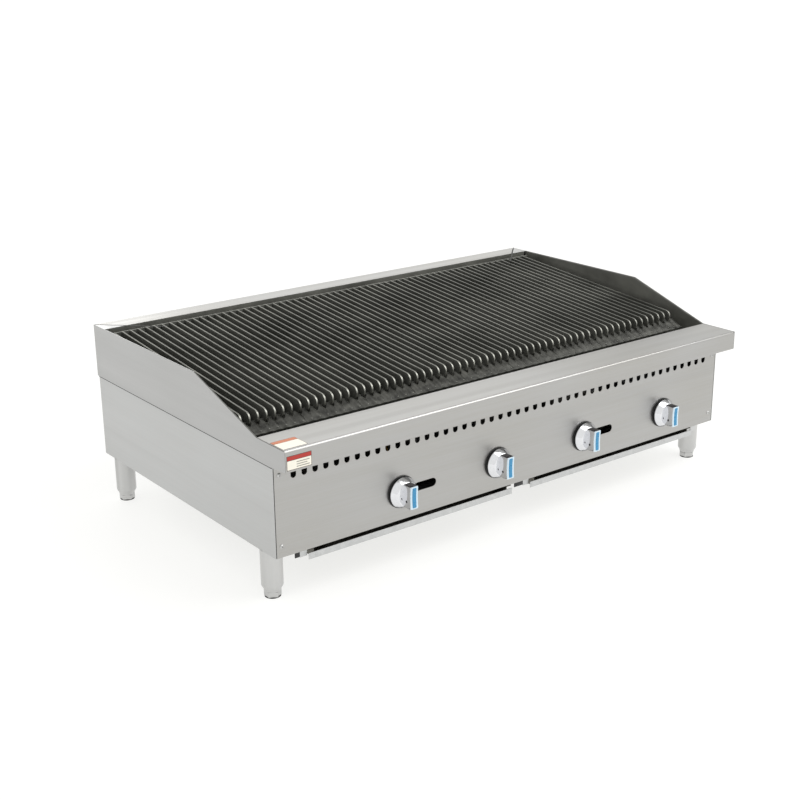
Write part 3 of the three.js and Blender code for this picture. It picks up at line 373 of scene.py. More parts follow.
# Black for the painted shade lines in the seams, and for the dark board above the studio.
black_shade_lines_and_card = moulded("black_painted_shade_lines_and_card", "1b1b1b", "2a2a2a", 0.5, 0.65, 4, 0.1)
laser_cut = moulded("laser_cut_steel_edge", "6f6f6d", "858582", 0.4, 0.55, 4, 0.05, Metallic=1)
cream_film = moulded("cream_polyester_film", "e4e0d2", "efebdf", 0.3, 0.42, 7, 0.02)
orange_film = moulded("orange_print", "b55f33", "c46f42", 0.3, 0.42, 7, 0.02)
red_film = moulded("red_print", "a3271f", "b2332a", 0.3, 0.42, 7, 0.02)
border_film = moulded("dark_print", "4a3a36", "5a4a44", 0.3, 0.42, 7, 0.02)
grey_film = moulded("grey_print", "8d8a83", "9b978f", 0.3, 0.42, 7, 0.02)
print("small finishes ready")

# %% [markdown]
# ## Making a piece
# A bmesh is edited freely and then stored as one object. The object stays at the origin with its place
# in its mesh, and it rides on a body of the frame. Edges sharper than a limit are marked sharp, and so are
# all edges round a large face, so that flats stay flat and mirror straight while round stretches look round.

# %% Making and finishing a piece
FLAT_AREA = 400


def make_piece(name, bm, materials, body, replaced=(), smooth=20, flat_area=FLAT_AREA):
    """Stores a bmesh as a piece; smooth is in degrees and flat_area in square millimetres."""
    bmesh.ops.remove_doubles(bm, verts=bm.verts, dist=1e-6)
    bmesh.ops.recalc_face_normals(bm, faces=bm.faces)
    mesh = bpy.data.meshes.new(name)
    bm.to_mesh(mesh)
    bm.free()
    for material in materials:
        mesh.materials.append(material)
    mesh.shade_smooth()
    mesh.set_sharp_from_angle(angle=math.radians(smooth))
    for polygon in mesh.polygons:
        if polygon.area > flat_area * MM * MM:
            for index in polygon.loop_indices:
                mesh.edges[mesh.loops[index].edge_index].use_edge_sharp = True
    piece = bpy.data.objects.new(name, mesh)
    scene.collection.objects.link(piece)
    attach(piece, body)
    if replaced:
        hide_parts(*replaced)
    return piece


def body_of_node(node):
    return frame["nodes"][node]["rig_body"]


def eased(bm, edges, width, segments=2):
    """Rounds edges to a width in millimetres."""
    bmesh.ops.bevel(bm, geom=edges, offset=width * MM, offset_type="OFFSET", segments=segments,
                    profile=0.5, affect="EDGES", material=-1, clamp_overlap=True)


def sharp_edges(bm, angle):
    return [e for e in bm.edges if e.is_manifold and e.calc_face_angle() > math.radians(angle)]


def finished_copy(node, materials, edge=0.4, angle=30, smooth=20, second=None, flat_area=FLAT_AREA):
    """A CAD node's shape with its triangles joined into flats and its sharp edges eased.
    Faces for which second(face) holds take the second material."""
    bm = bmesh.new()
    bm.from_mesh(frame["nodes"][node].data)
    bmesh.ops.remove_doubles(bm, verts=bm.verts, dist=1e-5)
    bmesh.ops.dissolve_limit(bm, angle_limit=math.radians(1), verts=bm.verts, edges=bm.edges)
    if edge:
        eased(bm, sharp_edges(bm, angle), edge)
    for face in bm.faces:
        face.material_index = 1 if second and second(face) else 0
    return make_piece(f"{node}_finished", bm, materials, body_of_node(node), [node], smooth, flat_area)


print("faces over", FLAT_AREA, "square mm keep sharp borders")


# %% Extruded and turned shapes
def extruded(bm, points, axis, length):
    """A closed outline in the plane across an axis, pushed along that axis. Returns its vertices."""
    ring = [bm.verts.new(p) for p in points]
    face = bm.faces.new(ring)
    pushed = bmesh.ops.extrude_face_region(bm, geom=[face])
    moved = [g for g in pushed["geom"] if isinstance(g, bmesh.types.BMVert)]
    bmesh.ops.translate(bm, verts=moved, vec=Vector(axis) * length)
    return ring + moved


def turned(bm, profile, place, turn=None, steps=48):
    """A profile of (radius, height) in millimetres spun about its axis and put in its place."""
    verts = [bm.verts.new((r * MM, 0, h * MM)) for r, h in profile]
    edges = [bm.edges.new(pair) for pair in zip(verts, verts[1:])]
    bmesh.ops.spin(bm, geom=verts + edges, cent=(0, 0, 0), axis=(0, 0, 1), angle=2 * math.pi,
                   steps=steps, use_merge=True)
    bmesh.ops.remove_doubles(bm, verts=bm.verts, dist=1e-6)
    matrix = Matrix.Translation(place)
    if turn is not None:
        matrix = matrix @ turn
    bmesh.ops.transform(bm, matrix=matrix, verts=bm.verts)
    return bm


def arc(centre, radius, start, end, steps):
    """Points on an arc in a plane, in degrees."""
    turn = [math.radians(start + (end - start) * k / steps) for k in range(steps + 1)]
    return [(centre[0] + radius * math.cos(a), centre[1] + radius * math.sin(a)) for a in turn]


TO_FRONT = Matrix.Rotation(math.pi / 2, 4, "X")
TO_BACK = Matrix.Rotation(-math.pi / 2, 4, "X")
TO_LEFT = Matrix.Rotation(-math.pi / 2, 4, "Y")
print("turned pieces can face the front, the back or the left")

# %% [markdown]
# ## The sheet-metal case
# Panels, splashes and liners are cut on a laser and folded on a press brake, so every edge is slightly
# rounded and catches a thin line of light. The model's flat sheets already have the right outline, so a
# copy of each gets its edges eased and the finish whose grain runs the way that panel was brushed.

# %% Case panels
LENGTHWISE = ["front_panel", "back_panel", "rear_splash"]
SIDES = ["left_side_panel", "right_side_panel"]
SPLASHES = ["left_splash", "right_splash"]
INNER = ["left_liner", "right_liner", "rear_liner", "front_baffle"]
EDGE_WIDTH = 2.5


def is_cut_edge(face):
    """A narrow face that looks up: the laser-cut edge of an upright sheet, a darker line to the eye."""
    across = [v.co.x for v in face.verts]
    return face.normal.z > 0.3 and max(across) - min(across) < EDGE_WIDTH * MM


for node in LENGTHWISE:
    finished_copy(node, [front_steel])
# The sides take the paler steel, painted lighter for the light that falls on them.
for node in SIDES:
    finished_copy(node, [side_steel_painted_lighter])
for node in SPLASHES:
    finished_copy(node, [splash_steel, laser_cut], 0.3, second=is_cut_edge)
# The inner walls and the baffle take the firebox steel, painted dark as shade and reflected grates.
for node in INNER:
    finished_copy(node, [firebox_steel], 0.3)
print("case panels:", len(LENGTHWISE) + len(SIDES) + len(SPLASHES), "outer and", len(INNER), "inner")

# %% [markdown]
# ## The front ledge
# The ledge is one sheet folded four times: a lip, the front face, a wide flat top and a short return
# into the firebox. Its front bend has a 5 mm radius and carries the brightest line on the whole unit,
# so it is made from its own profile, with the bend as a fine arc, and pushed along the length.

# %% Front ledge
LEDGE_LOW, LEDGE_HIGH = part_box("front_ledge")
LEDGE_BEND = 5
LEDGE_RETURN = 24
SHEET = 1.5
LEDGE_FLAT_AREA = 5000


def ledge_outline():
    """The section as (Y, Z) in millimetres: along the outside, then back along the inside."""
    front, back = LEDGE_LOW.y / MM, LEDGE_HIGH.y / MM
    bottom, top = LEDGE_LOW.z / MM, LEDGE_HIGH.z / MM
    centre = (front + LEDGE_BEND, top - LEDGE_BEND)
    points = [(back, top)]
    points += arc(centre, LEDGE_BEND, 90, 180, 10)
    points += [(front, bottom), (front + LEDGE_RETURN, bottom), (front + LEDGE_RETURN, bottom + SHEET)]
    points += [(front + SHEET, bottom + SHEET)]
    points += arc(centre, LEDGE_BEND - SHEET, 180, 90, 10)
    points += [(back - SHEET, top - SHEET), (back - SHEET, top - LEDGE_RETURN), (back, top - LEDGE_RETURN)]
    return points


def make_ledge():
    bm = bmesh.new()
    outline = [(LEDGE_LOW.x, y * MM, z * MM) for y, z in ledge_outline()]
    extruded(bm, outline, (1, 0, 0), LEDGE_HIGH.x - LEDGE_LOW.x)
    bmesh.ops.recalc_face_normals(bm, faces=bm.faces)
    eased(bm, sharp_edges(bm, 40), 0.35)
    return make_piece("front_ledge_folded", bm, [front_steel], "chassis",
                      ["front_ledge"], 12, LEDGE_FLAT_AREA)


make_ledge()
print("ledge length in mm:", round((LEDGE_HIGH.x - LEDGE_LOW.x) / MM, 1))

# %% [markdown]
# ## Grates
# Each grate is a casting of seven thin bars. A bar is a flat blade whose rim is rounded, so from above it
# shows as a narrow light ridge, rubbed and also painted with a highlight; at the front it ends in a nose
# with a rounded shoulder and a foot tucked back. Under the noses the casting spreads into a scalloped apron
# that sheds grease into the trough.
# A bar starts as its side outline pushed to its thickness, and a bevel rounds the rim. The apron is a
# grid whose points are lifted by a wave with one crest between each two bars, and then given a wall.
# All of it is made level with its front at zero, and the whole casting is tilted at the end.

# %% Grate sizes
NOSE_FROM_LEDGE = 70
NOSE_TOP_OVER_LEDGE = 21
BAR_PITCH = 18.7
BAR_THICKNESS = 4
BAR_HEIGHT = 27
NOSE_FOOT = 9
NOSE_SHOULDER = 12
RIM_ROUND = 1.4
BARS = 7
APRON_FRONT = -28
APRON_WALL = 3.2
GRATE_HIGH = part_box("grate_1")[1]
nose_y = LEDGE_HIGH.y / MM + NOSE_FROM_LEDGE
nose_top = LEDGE_HIGH.z / MM + NOSE_TOP_OVER_LEDGE
grate_rise = GRATE_HIGH.z / MM - nose_top
grate_run = GRATE_HIGH.y / MM - nose_y
GRATE_SLOPE = math.atan2(grate_rise, grate_run)
BAR_LENGTH = grate_run / math.cos(GRATE_SLOPE)
BAR_ORIGIN = Vector((0, nose_y * MM, (nose_top - BAR_HEIGHT / math.cos(GRATE_SLOPE)) * MM))
print("bars are", round(BAR_LENGTH), "mm long and rise", round(math.degrees(GRATE_SLOPE), 1), "degrees")


# %% Grate shapes
SEASONED, RUBBED_AND_PAINTED_LIGHT, APRON, RIDGE_WEAR_AND_HIGHLIGHT = range(4)


def curve_through(start, pull, end, steps=6):
    """Points on a quadratic curve, without its first point."""
    points = []
    for k in range(1, steps + 1):
        t = k / steps
        points.append(tuple((1 - t) ** 2 * a + 2 * t * (1 - t) * b + t * t * c
                            for a, b, c in zip(start, pull, end)))
    return points


def bar_outline():
    """A side view as (Y, Z): the foot, the nose with its shoulder, and the straight top."""
    h = BAR_HEIGHT
    foot, front, shoulder = (NOSE_FOOT, 0), (0, h * 0.42), (NOSE_SHOULDER, h)
    points = [foot]
    points += curve_through(foot, (NOSE_FOOT / 6, h * 0.12), front)
    points += curve_through(front, (-1, h * 0.92), shoulder)
    return points + [(BAR_LENGTH, h), (BAR_LENGTH, 0)]


def add_bar(bm, x):
    """One blade: its rim is rounded, and the ridge and the nose are coloured light, for their wear and as a
    painted highlight and painted light.
    """
    part = bmesh.new()
    outline = [(x * MM, y * MM, z * MM) for y, z in bar_outline()]
    extruded(part, outline, (1, 0, 0), BAR_THICKNESS * MM)
    bmesh.ops.recalc_face_normals(part, faces=part.faces)
    rim = [e for e in part.edges if e.is_manifold and any(abs(f.normal.x) > 0.9 for f in e.link_faces)
           and min(v.co.z for v in e.verts) > 1 * MM]
    eased(part, rim, RIM_ROUND, 2)
    # Top faces and nose fronts take the light irons: wear, plus painted highlight and painted light.
    for face in part.faces:
        centre = face.calc_center_median()
        middle = abs(face.normal.x) < 0.3
        upper = centre.z > (BAR_HEIGHT - 1.2) * MM and middle
        nose = centre.y < NOSE_SHOULDER * MM and centre.z > 3 * MM and middle
        face.material_index = RUBBED_AND_PAINTED_LIGHT if nose else RIDGE_WEAR_AND_HIGHLIGHT if upper else SEASONED
    append(bm, part)


def append(bm, part):
    """Adds a finished bmesh to another."""
    mesh = bpy.data.meshes.new("part")
    part.to_mesh(mesh)
    part.free()
    bm.from_mesh(mesh)
    bpy.data.meshes.remove(mesh)


def add_rib(bm, left, right, y, thickness, low, high, top=SEASONED):
    """A rib that joins the bars: a narrow wedge, with its upper edge in its own finish."""
    part = bmesh.new()
    outline = [(left * MM, (y + a) * MM, b * MM) for a, b in
               ((0, low), (thickness, low), (thickness * 0.8, high), (thickness * 0.2, high))]
    extruded(part, outline, (1, 0, 0), (right - left) * MM)
    bmesh.ops.recalc_face_normals(part, faces=part.faces)
    eased(part, sharp_edges(part, 40), 0.6, 1)
    for face in part.faces:
        face.material_index = top if face.normal.z > 0.8 else SEASONED
    append(bm, part)


print("points in a bar's outline:", len(bar_outline()))

# %% Grate apron
APRON_STEPS_PER_BAR = 8
APRON_ROWS = 7
APRON_REAR = -2.5
APRON_NOTCH = 9
APRON_CREST = 4.2
APRON_FALL = 10 / 42


def add_apron(bm, left, right, first_bar):
    """A scalloped skirt: its rear edge is notched between the bars, and its crests lie there too."""
    part = bmesh.new()
    columns = BARS * APRON_STEPS_PER_BAR
    bmesh.ops.create_grid(part, x_segments=columns, y_segments=APRON_ROWS, size=0.5)
    bar_middle = first_bar + BAR_THICKNESS / 2
    for vert in part.verts:
        x = left + (vert.co.x + 0.5) * (right - left)
        along = 0.5 - vert.co.y
        wave = math.sin(math.pi * (x - bar_middle) / BAR_PITCH) ** 2
        rear = APRON_REAR + APRON_NOTCH * wave ** 0.7
        front = APRON_FRONT + 1.2 * (1 - wave)
        y = rear + (front - rear) * along
        crest = APRON_CREST * wave * (1 - 0.5 * along)
        z = 4.6 + (y - 12) * APRON_FALL + crest - 1.2 * along ** 4
        vert.co = Vector((x, y, z)) * MM
    bmesh.ops.recalc_face_normals(part, faces=part.faces)
    if part.faces[0].normal.z < 0:
        bmesh.ops.reverse_faces(part, faces=part.faces)
    bmesh.ops.solidify(part, geom=part.faces, thickness=APRON_WALL * MM)
    for face in part.faces:
        face.material_index = APRON
    append(bm, part)


def add_painted_glint_beads(bm, left):
    """Small light beads on the lip, one for each gap between bars: painted glints of light."""
    for k in range(BARS):
        x = left + BAR_THICKNESS / 2 + (k + 0.5) * BAR_PITCH
        part = bmesh.new()
        bmesh.ops.create_icosphere(part, subdivisions=1, radius=1)
        bmesh.ops.scale(part, vec=Vector((1.5, 1.0, 1.0)) * MM, verts=part.verts)
        bmesh.ops.translate(part, vec=Vector((x, APRON_FRONT + 4, -1.2)) * MM, verts=part.verts)
        for face in part.faces:
            face.material_index = RUBBED_AND_PAINTED_LIGHT
        append(bm, part)


print("apron grid:", BARS * APRON_STEPS_PER_BAR, "by", APRON_ROWS)

# %% Grates
GRATES = 9


def make_grate(number):
    """One whole casting: bars, ribs, apron and beads made level, then tilted to the slope of the top."""
    node = f"grate_{number}"
    low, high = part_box(node)
    left, right = low.x / MM, high.x / MM
    last = left + (BARS - 1) * BAR_PITCH + BAR_THICKNESS
    bm = bmesh.new()
    for k in range(BARS):
        add_bar(bm, left + k * BAR_PITCH)
    inner = (left + 1, last - 1)
    outer = (left - 0.5, right + 0.5)
    for y, rib_height in ((8, 6), (0.34 * BAR_LENGTH, 9), (0.67 * BAR_LENGTH, 9)):
        add_rib(bm, *inner, y, 6, 0.5, rib_height)
    # The rear rib's top takes the rubbed iron, lighter for wear and as painted light.
    add_rib(bm, *outer, BAR_LENGTH - 4.5, 4, 2, BAR_HEIGHT + 0.2, RUBBED_AND_PAINTED_LIGHT)
    add_apron(bm, left - 0.6, right + 0.6, left)
    # Light beads on the lip: painted glints.
    add_painted_glint_beads(bm, left)
    bmesh.ops.rotate(bm, verts=bm.verts, cent=(0, 0, 0), matrix=Matrix.Rotation(GRATE_SLOPE, 3, "X"))
    bmesh.ops.translate(bm, verts=bm.verts, vec=BAR_ORIGIN)
    return make_piece(f"{node}_casting", bm, irons, body_of_node(node), [node], 35)


grate_pieces = [make_grate(k + 1) for k in range(GRATES)]
print("faces in one grate:", len(grate_pieces[0].data.polygons))

# %% [markdown]
# ## Knobs
# A knob is a plated skirt with a flat-sided grip across it. The skirt is turned from a half profile. The
# grip starts as a block whose long edges are rounded and whose top and bottom ends are painted dark, a
# painted reflection of dark surroundings in the chrome. Two plates lie on its front: the pale frame and, on
# that, the blue pointer strip. The black ring behind stays on the panel when the knob turns, so it is a
# piece of its own.

# %% Knob sizes
KNOBS = 4
KNOB_RADIUS = 32
SKIRT_FACE = 13.4
GRIP_WIDTH = 18.6
GRIP_LENGTH = 47
GRIP_FRONT = 36.5
POINTER_WIDTH = 9.4
POINTER_LENGTH = 41
BEZEL_RADIUS = 33.2
BEZEL_FRONT = -2.6
HOLLOW = 1.5
print("knob diameter in mm:", 2 * KNOB_RADIUS)


# %% Knob and grip
def knob_centre(number):
    """The point on the knob's axis at the back of its skirt."""
    low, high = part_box(f"knob_{number}")
    return Vector(((low.x + high.x) / 2, low.y + GRIP_FRONT * MM, (low.z + high.z) / 2))


def block(bm, low, high):
    """A block between two corners, in millimetres, as its vertices."""
    made = bmesh.ops.create_cube(bm, size=1)
    size = Vector(high) - Vector(low)
    bmesh.ops.scale(bm, vec=size * MM, verts=made["verts"])
    bmesh.ops.translate(bm, vec=(Vector(low) + Vector(high)) / 2 * MM, verts=made["verts"])
    return made["verts"]


def hollowed(bm, centre):
    """Bends the front of a grip or its pointer inwards, most at mid height, so that it curves."""
    for k in range(-4, 5):
        height = centre.z + k * GRIP_LENGTH / 10 * MM
        bmesh.ops.bisect_plane(bm, geom=bm.verts[:] + bm.edges[:] + bm.faces[:], plane_co=(0, 0, height),
                               plane_no=(0, 0, 1))
    for vert in bm.verts:
        if vert.co.y < centre.y - (SKIRT_FACE + 8) * MM:
            share = (vert.co.z - centre.z) / (GRIP_LENGTH / 2 * MM)
            vert.co.y += HOLLOW * MM * (1 - min(1, share * share))


def grip_mesh(centre):
    """The grip, with its front facing -Y."""
    bm = bmesh.new()
    w, l = GRIP_WIDTH / 2, GRIP_LENGTH / 2
    block(bm, (-w, -GRIP_FRONT + 1.6, -l), (w, -SKIRT_FACE + 1.5, l))
    uprights = [e for e in bm.edges if abs((e.verts[0].co - e.verts[1].co).normalized().y) > 0.9]
    eased(bm, uprights, 1.3, 3)
    front = [f for f in bm.faces if f.normal.y < -0.9]
    rim = list({e for f in front for e in f.edges})
    eased(bm, rim, 0.8, 2)
    # The top and bottom ends of the grip are painted dark, a painted reflection in the chrome.
    for face in bm.faces:
        face.material_index = 1 if abs(face.normal.z) > 0.7 else 0
    bmesh.ops.translate(bm, vec=centre, verts=bm.verts)
    hollowed(bm, centre)
    return bm


def make_knob(number):
    centre = knob_centre(number)
    body = f"knob_{number}_turning"
    bm = bmesh.new()
    profile = [(0, 0), (31.2, 0), (31.8, 0.4), (KNOB_RADIUS, 1), (KNOB_RADIUS, 2.2), (31.5, 2.9)]
    profile += [(25, 12.1), (24.2, 13), (23, SKIRT_FACE)]
    profile += [(12, SKIRT_FACE + 0.4), (0, SKIRT_FACE + 0.5)]
    turned(bm, profile, centre, TO_FRONT, 64)
    append(bm, grip_mesh(centre))
    stem = bmesh.new()
    stem_end = (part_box(f"knob_{number}")[1].y - centre.y) / MM
    stem_profile = [(0, -stem_end), (3.6, -stem_end), (4, 0.4 - stem_end), (4, 0.5), (0, 0.5)]
    turned(stem, stem_profile, centre, TO_FRONT, 24)
    append(bm, stem)
    return make_piece(f"knob_{number}_plated", bm, [bright_chrome, grip_end_reflection_and_screw_black], body,
                      [f"knob_{number}"], 32)


print("the grip reaches", GRIP_FRONT, "mm in front of the skirt's back")


# %% Knob pointer
def rounded_plate(width, length, corner, steps=5):
    """The outline of a plate with round corners, about its centre."""
    w, l = width / 2 - corner, length / 2 - corner
    points = []
    for x, z, start in ((w, l, 0), (-w, l, 90), (-w, -l, 180), (w, -l, 270)):
        points += arc((x, z), corner, start, start + 90, steps)
    return points


def plate(centre, width, length, corner, back, front, edge):
    """A plate across the Y axis with eased front edges, between two distances in front of centre."""
    bm = bmesh.new()
    points = [(centre.x + x * MM, centre.y - back * MM, centre.z + z * MM)
              for x, z in rounded_plate(width, length, corner)]
    extruded(bm, points, (0, -1, 0), (front - back) * MM)
    bmesh.ops.recalc_face_normals(bm, faces=bm.faces)
    rim = [e for e in sharp_edges(bm, 60) if max(v.co.y for v in e.verts) < centre.y - (front - 0.01) * MM]
    eased(bm, rim, edge, 3)
    return bm


def make_pointer(number):
    """The pale frame and the blue strip on the front of a grip."""
    centre = knob_centre(number)
    body = f"knob_{number}_turning"
    border = plate(centre, GRIP_WIDTH - 0.8, GRIP_LENGTH - 0.8, 2.4, GRIP_FRONT - 1.9, GRIP_FRONT - 0.5, 0.5)
    hollowed(border, centre)
    make_piece(f"knob_{number}_pointer_frame", border, [pale_abs], body, (), 32)
    strip = plate(centre, POINTER_WIDTH, POINTER_LENGTH, 2, GRIP_FRONT - 0.6, GRIP_FRONT, 0.3)
    hollowed(strip, centre)
    make_piece(f"knob_{number}_pointer_strip", strip, [blue_abs], body,
               [f"knob_insert_{number}"], 32)


print("pointer strip in mm:", POINTER_WIDTH, "by", POINTER_LENGTH)


# %% Knob ring, grub screw and assembly
def make_bezel(number):
    """The black ring that stays on the panel behind a knob, a thin dark line round the bright skirt."""
    centre = knob_centre(number)
    depth = (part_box("front_panel")[0].y - centre.y) / MM
    bm = bmesh.new()
    inner = 9
    profile = [(inner, -depth), (BEZEL_RADIUS - 0.4, -depth), (BEZEL_RADIUS, 0.4 - depth),
               (BEZEL_RADIUS, BEZEL_FRONT - 0.8), (BEZEL_RADIUS - 0.3, BEZEL_FRONT - 0.2),
               (BEZEL_RADIUS - 1, BEZEL_FRONT), (inner, BEZEL_FRONT), (inner, -depth)]
    turned(bm, profile, centre, TO_FRONT, 64)
    return make_piece(f"knob_{number}_bezel", bm, [black_phenolic_and_painted_shade], "chassis", (), 32)


def make_grub_screw(number):
    """The dark socket of the screw that holds the grip to its stem, low on the left flank."""
    centre = knob_centre(number)
    place = centre + Vector((-GRIP_WIDTH / 2, -SKIRT_FACE - 8.5, -10)) * MM
    profile = [(0, -0.4), (2.6, -0.4), (2.6, 0.1), (2.3, 0.25), (1.2, 0.25), (1.1, 0), (0, 0)]
    bm = turned(bmesh.new(), profile, place, TO_LEFT, 20)
    make_piece(f"knob_{number}_grub_screw", bm, [grip_end_reflection_and_screw_black], f"knob_{number}_turning", (), 32)


for number in range(1, KNOBS + 1):
    make_knob(number)
    make_pointer(number)
    make_bezel(number)
    make_grub_screw(number)
print("knob centres in mm:", [round(knob_centre(k + 1).x / MM, 1) for k in range(KNOBS)])

# %% [markdown]
# ## Legs and feet
# A leg is a stainless tube pressed in at its foot, and its foot is a hexagon nut with a stud, screwed in
# or out to level the unit. Both are turned shapes; the hexagon's corners and ends are eased so that it
# can be turned by hand, and a thin black pad under it is painted shadow, the dark line where the foot meets
# the floor.

# %% Legs and feet
LEG_RADIUS = 21.5
LEG_NECK = 16.9
PAD_RISE = 1.6
CORNERS = ["front_left", "front_right", "rear_left", "rear_right"]


def make_leg(corner):
    """A tube from its necked foot to the body, with the stud that holds it above."""
    low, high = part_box(f"{corner}_leg")
    place = Vector(((low.x + high.x) / 2, (low.y + high.y) / 2, 0))
    foot = low.z / MM
    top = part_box("front_panel")[0].z / MM
    stud = high.z / MM
    profile = [(0, foot), (LEG_NECK - 0.8, foot), (LEG_NECK - 0.2, foot + 0.3), (LEG_NECK, foot + 1)]
    profile += [(LEG_NECK + 0.2, foot + 3.4), (LEG_NECK + 1.2, foot + 5.6), (LEG_RADIUS - 1.0, foot + 9.6)]
    profile += [(LEG_RADIUS - 0.2, foot + 11.6), (LEG_RADIUS, foot + 13.6), (LEG_RADIUS, top)]
    profile += [(6, top), (6, stud - 0.6), (5.4, stud), (0, stud)]
    bm = turned(bmesh.new(), profile, place, None, 64)
    return make_piece(f"{corner}_leg_tube", bm, [tube_steel_painted_shade_bands], "chassis",
                      [f"{corner}_leg"], 30)


def make_foot(corner):
    """A hexagon nut with its stud, and the black pad under it, painted shadow where the foot meets the
    floor.
    """
    low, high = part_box(f"{corner}_foot")
    place = Vector(((low.x + high.x) / 2, (low.y + high.y) / 2, 0))
    corners = max(high.x - low.x, high.y - low.y) / 2 / MM
    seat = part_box(f"{corner}_leg")[0].z / MM - 0.3
    bm = bmesh.new()
    bmesh.ops.create_cone(bm, cap_ends=True, segments=6, radius1=corners * MM, radius2=corners * MM,
                          depth=(seat - PAD_RISE) * MM)
    bmesh.ops.translate(bm, verts=bm.verts, vec=(0, 0, (seat + PAD_RISE) / 2 * MM))
    eased(bm, [e for e in bm.edges if abs(e.verts[0].co.z - e.verts[1].co.z) > 1 * MM], 1.6, 4)
    eased(bm, sharp_edges(bm, 60), 1.2, 2)
    bmesh.ops.transform(bm, matrix=Matrix.Translation(place), verts=bm.verts)
    stud = turned(bmesh.new(), [(0, seat - 0.5), (8, seat - 0.5), (8, high.z / MM - 1), (7, high.z / MM),
                                (0, high.z / MM)], place, None, 32)
    append(bm, stud)
    body = f"{corner}_levelling_foot"
    make_piece(f"{corner}_foot_nut", bm, [tube_steel_painted_shade_bands], body, [f"{corner}_foot"], 25)
    # The black pad is painted shadow under the foot.
    profile = [(0, 0), (15.4, 0), (15.9, 0.4), (15.9, 1.2), (15, PAD_RISE + 0.2), (0, PAD_RISE + 0.2)]
    pad = turned(bmesh.new(), profile, place, None, 48)
    make_piece(f"{corner}_foot_painted_shadow_pad", pad, [black_phenolic_and_painted_shade], body, (), 30)


for corner in CORNERS:
    make_leg(corner)
    make_foot(corner)
print("legs and feet:", CORNERS)

# %% [markdown]
# ## Trays, frame and gas train
# The trays hang from rails under the body; their lips show below the panel. These parts are plain
# folded zinc sheet, brass and pipe, so the model's shapes are kept and only their edges are eased.
# Round parts keep their facets smoothed by shading.

# %% Trays, frame and gas train
LIP_DEPTH = 3
LIP_TOP = 91.8
ALWAYS_ROUND = 1e6
ZINC_PARTS = ["front_frame_angle", "rear_frame_angle", "left_frame_rail", "right_frame_rail", "tray_divider"]


def is_inside_tray(face):
    """Faces behind the front lip, or above it."""
    centre = face.calc_center_median()
    return centre.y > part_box("left_drip_tray")[0].y + LIP_DEPTH * MM or centre.z > LIP_TOP * MM


# Inside faces and rim corners of the trays take the darker zinc: old grease, and painted shade under the
# body.
for node in ["left_drip_tray", "right_drip_tray"]:
    finished_copy(node, [zinc, tray_grease_and_painted_shade], 0.3, second=is_inside_tray)
for node in ZINC_PARTS:
    finished_copy(node, [zinc], 0.3)
for node in ["gas_manifold", "gas_inlet"]:
    finished_copy(node, [pipe_black], 0, smooth=40, flat_area=ALWAYS_ROUND)
for number in range(1, KNOBS + 1):
    finished_copy(f"gas_valve_{number}", [brass_turned], 0.4, 50, 40)
    finished_copy(f"burner_{number}", [burner_iron], 0, smooth=40, flat_area=ALWAYS_ROUND)
    finished_copy(f"radiant_{number}", [burner_iron], 0.6)
for node in ["pilot_1", "pilot_2"]:
    finished_copy(node, [brass_turned], 0, smooth=50)
print("gas train dressed")

# %% [markdown]
# ## Screws and decals
# Self-tapping screws with round heads hold the panels. A head is turned from a dome profile with a
# small socket. Two printed films sit at the left end of the ledge, one on its top and one on its front;
# they are plain bands of colour.

# %% Screws
SCREW_HEAD = 4.2
BACK_SCREWS = 6
SCREW_RISE = 2.2
PANEL_SCREW_INSET = 12
PANEL_SCREW_HEIGHTS = (121, 262)
BACK_SCREW_INSET = 20
BACK_SCREW_HEIGHTS = (112, 270)
PANEL_LOW, PANEL_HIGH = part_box("front_panel")
SIDE_LOW, SIDE_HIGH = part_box("left_side_panel")


def screw_head(place, turn):
    """A dome with a small socket."""
    profile = [(0, 0.9), (1.3, 0.9), (1.5, SCREW_RISE - 0.1), (2.2, SCREW_RISE - 0.15)]
    profile += [(3.3, SCREW_RISE - 0.7), (SCREW_HEAD, 0.5), (SCREW_HEAD, 0.02), (0, 0.02)]
    return turned(bmesh.new(), profile, place, turn, 20)


def make_screws(name, places, turn):
    bm = bmesh.new()
    for place in places:
        append(bm, screw_head(Vector(place), turn))
    return make_piece(name, bm, [tube_steel_painted_shade_bands], "chassis", (), 40)


def panel_screws():
    inset = PANEL_SCREW_INSET * MM
    x_left, x_right = PANEL_LOW.x + inset, PANEL_HIGH.x - inset
    front = PANEL_LOW.y
    places = [(x, front, z * MM) for x in (x_left, x_right) for z in PANEL_SCREW_HEIGHTS]
    make_screws("front_panel_screws", places, TO_FRONT)
    back = SIDE_HIGH.y
    span = PANEL_HIGH.x - BACK_SCREW_INSET * MM
    columns = [-span + 2 * span * k / (BACK_SCREWS - 1) for k in range(BACK_SCREWS)]
    rows = [(x, back, z * MM) for x in columns for z in BACK_SCREW_HEIGHTS]
    make_screws("back_panel_screws", rows, TO_BACK)


panel_screws()
print("screws in a row across the back:", BACK_SCREWS)

# %% Decals
FILM = 0.12


def film(name, low, high, axis, material, lift=0):
    """A printed film with round corners, lying across an axis; lift stacks one film on another."""
    bm = bmesh.new()
    block(bm, low, high)
    upright = [e for e in bm.edges if abs((e.verts[0].co - e.verts[1].co).normalized()[axis]) > 0.9]
    eased(bm, upright, 0.8, 3)
    shift = Vector((0, 0, lift)) if axis == 2 else Vector((0, -lift, 0))
    bmesh.ops.translate(bm, verts=bm.verts, vec=shift * MM)
    return make_piece(name, bm, [material], "chassis", (), 30)


LEDGE_FRONT = LEDGE_LOW.y / MM
LEDGE_TOP = LEDGE_HIGH.z / MM
LABEL_LINES = 3


def top_film(name, left, front, right, back, material, lift=0):
    film(name, (left, front, LEDGE_TOP), (right, back, LEDGE_TOP + FILM), 2, material, lift)


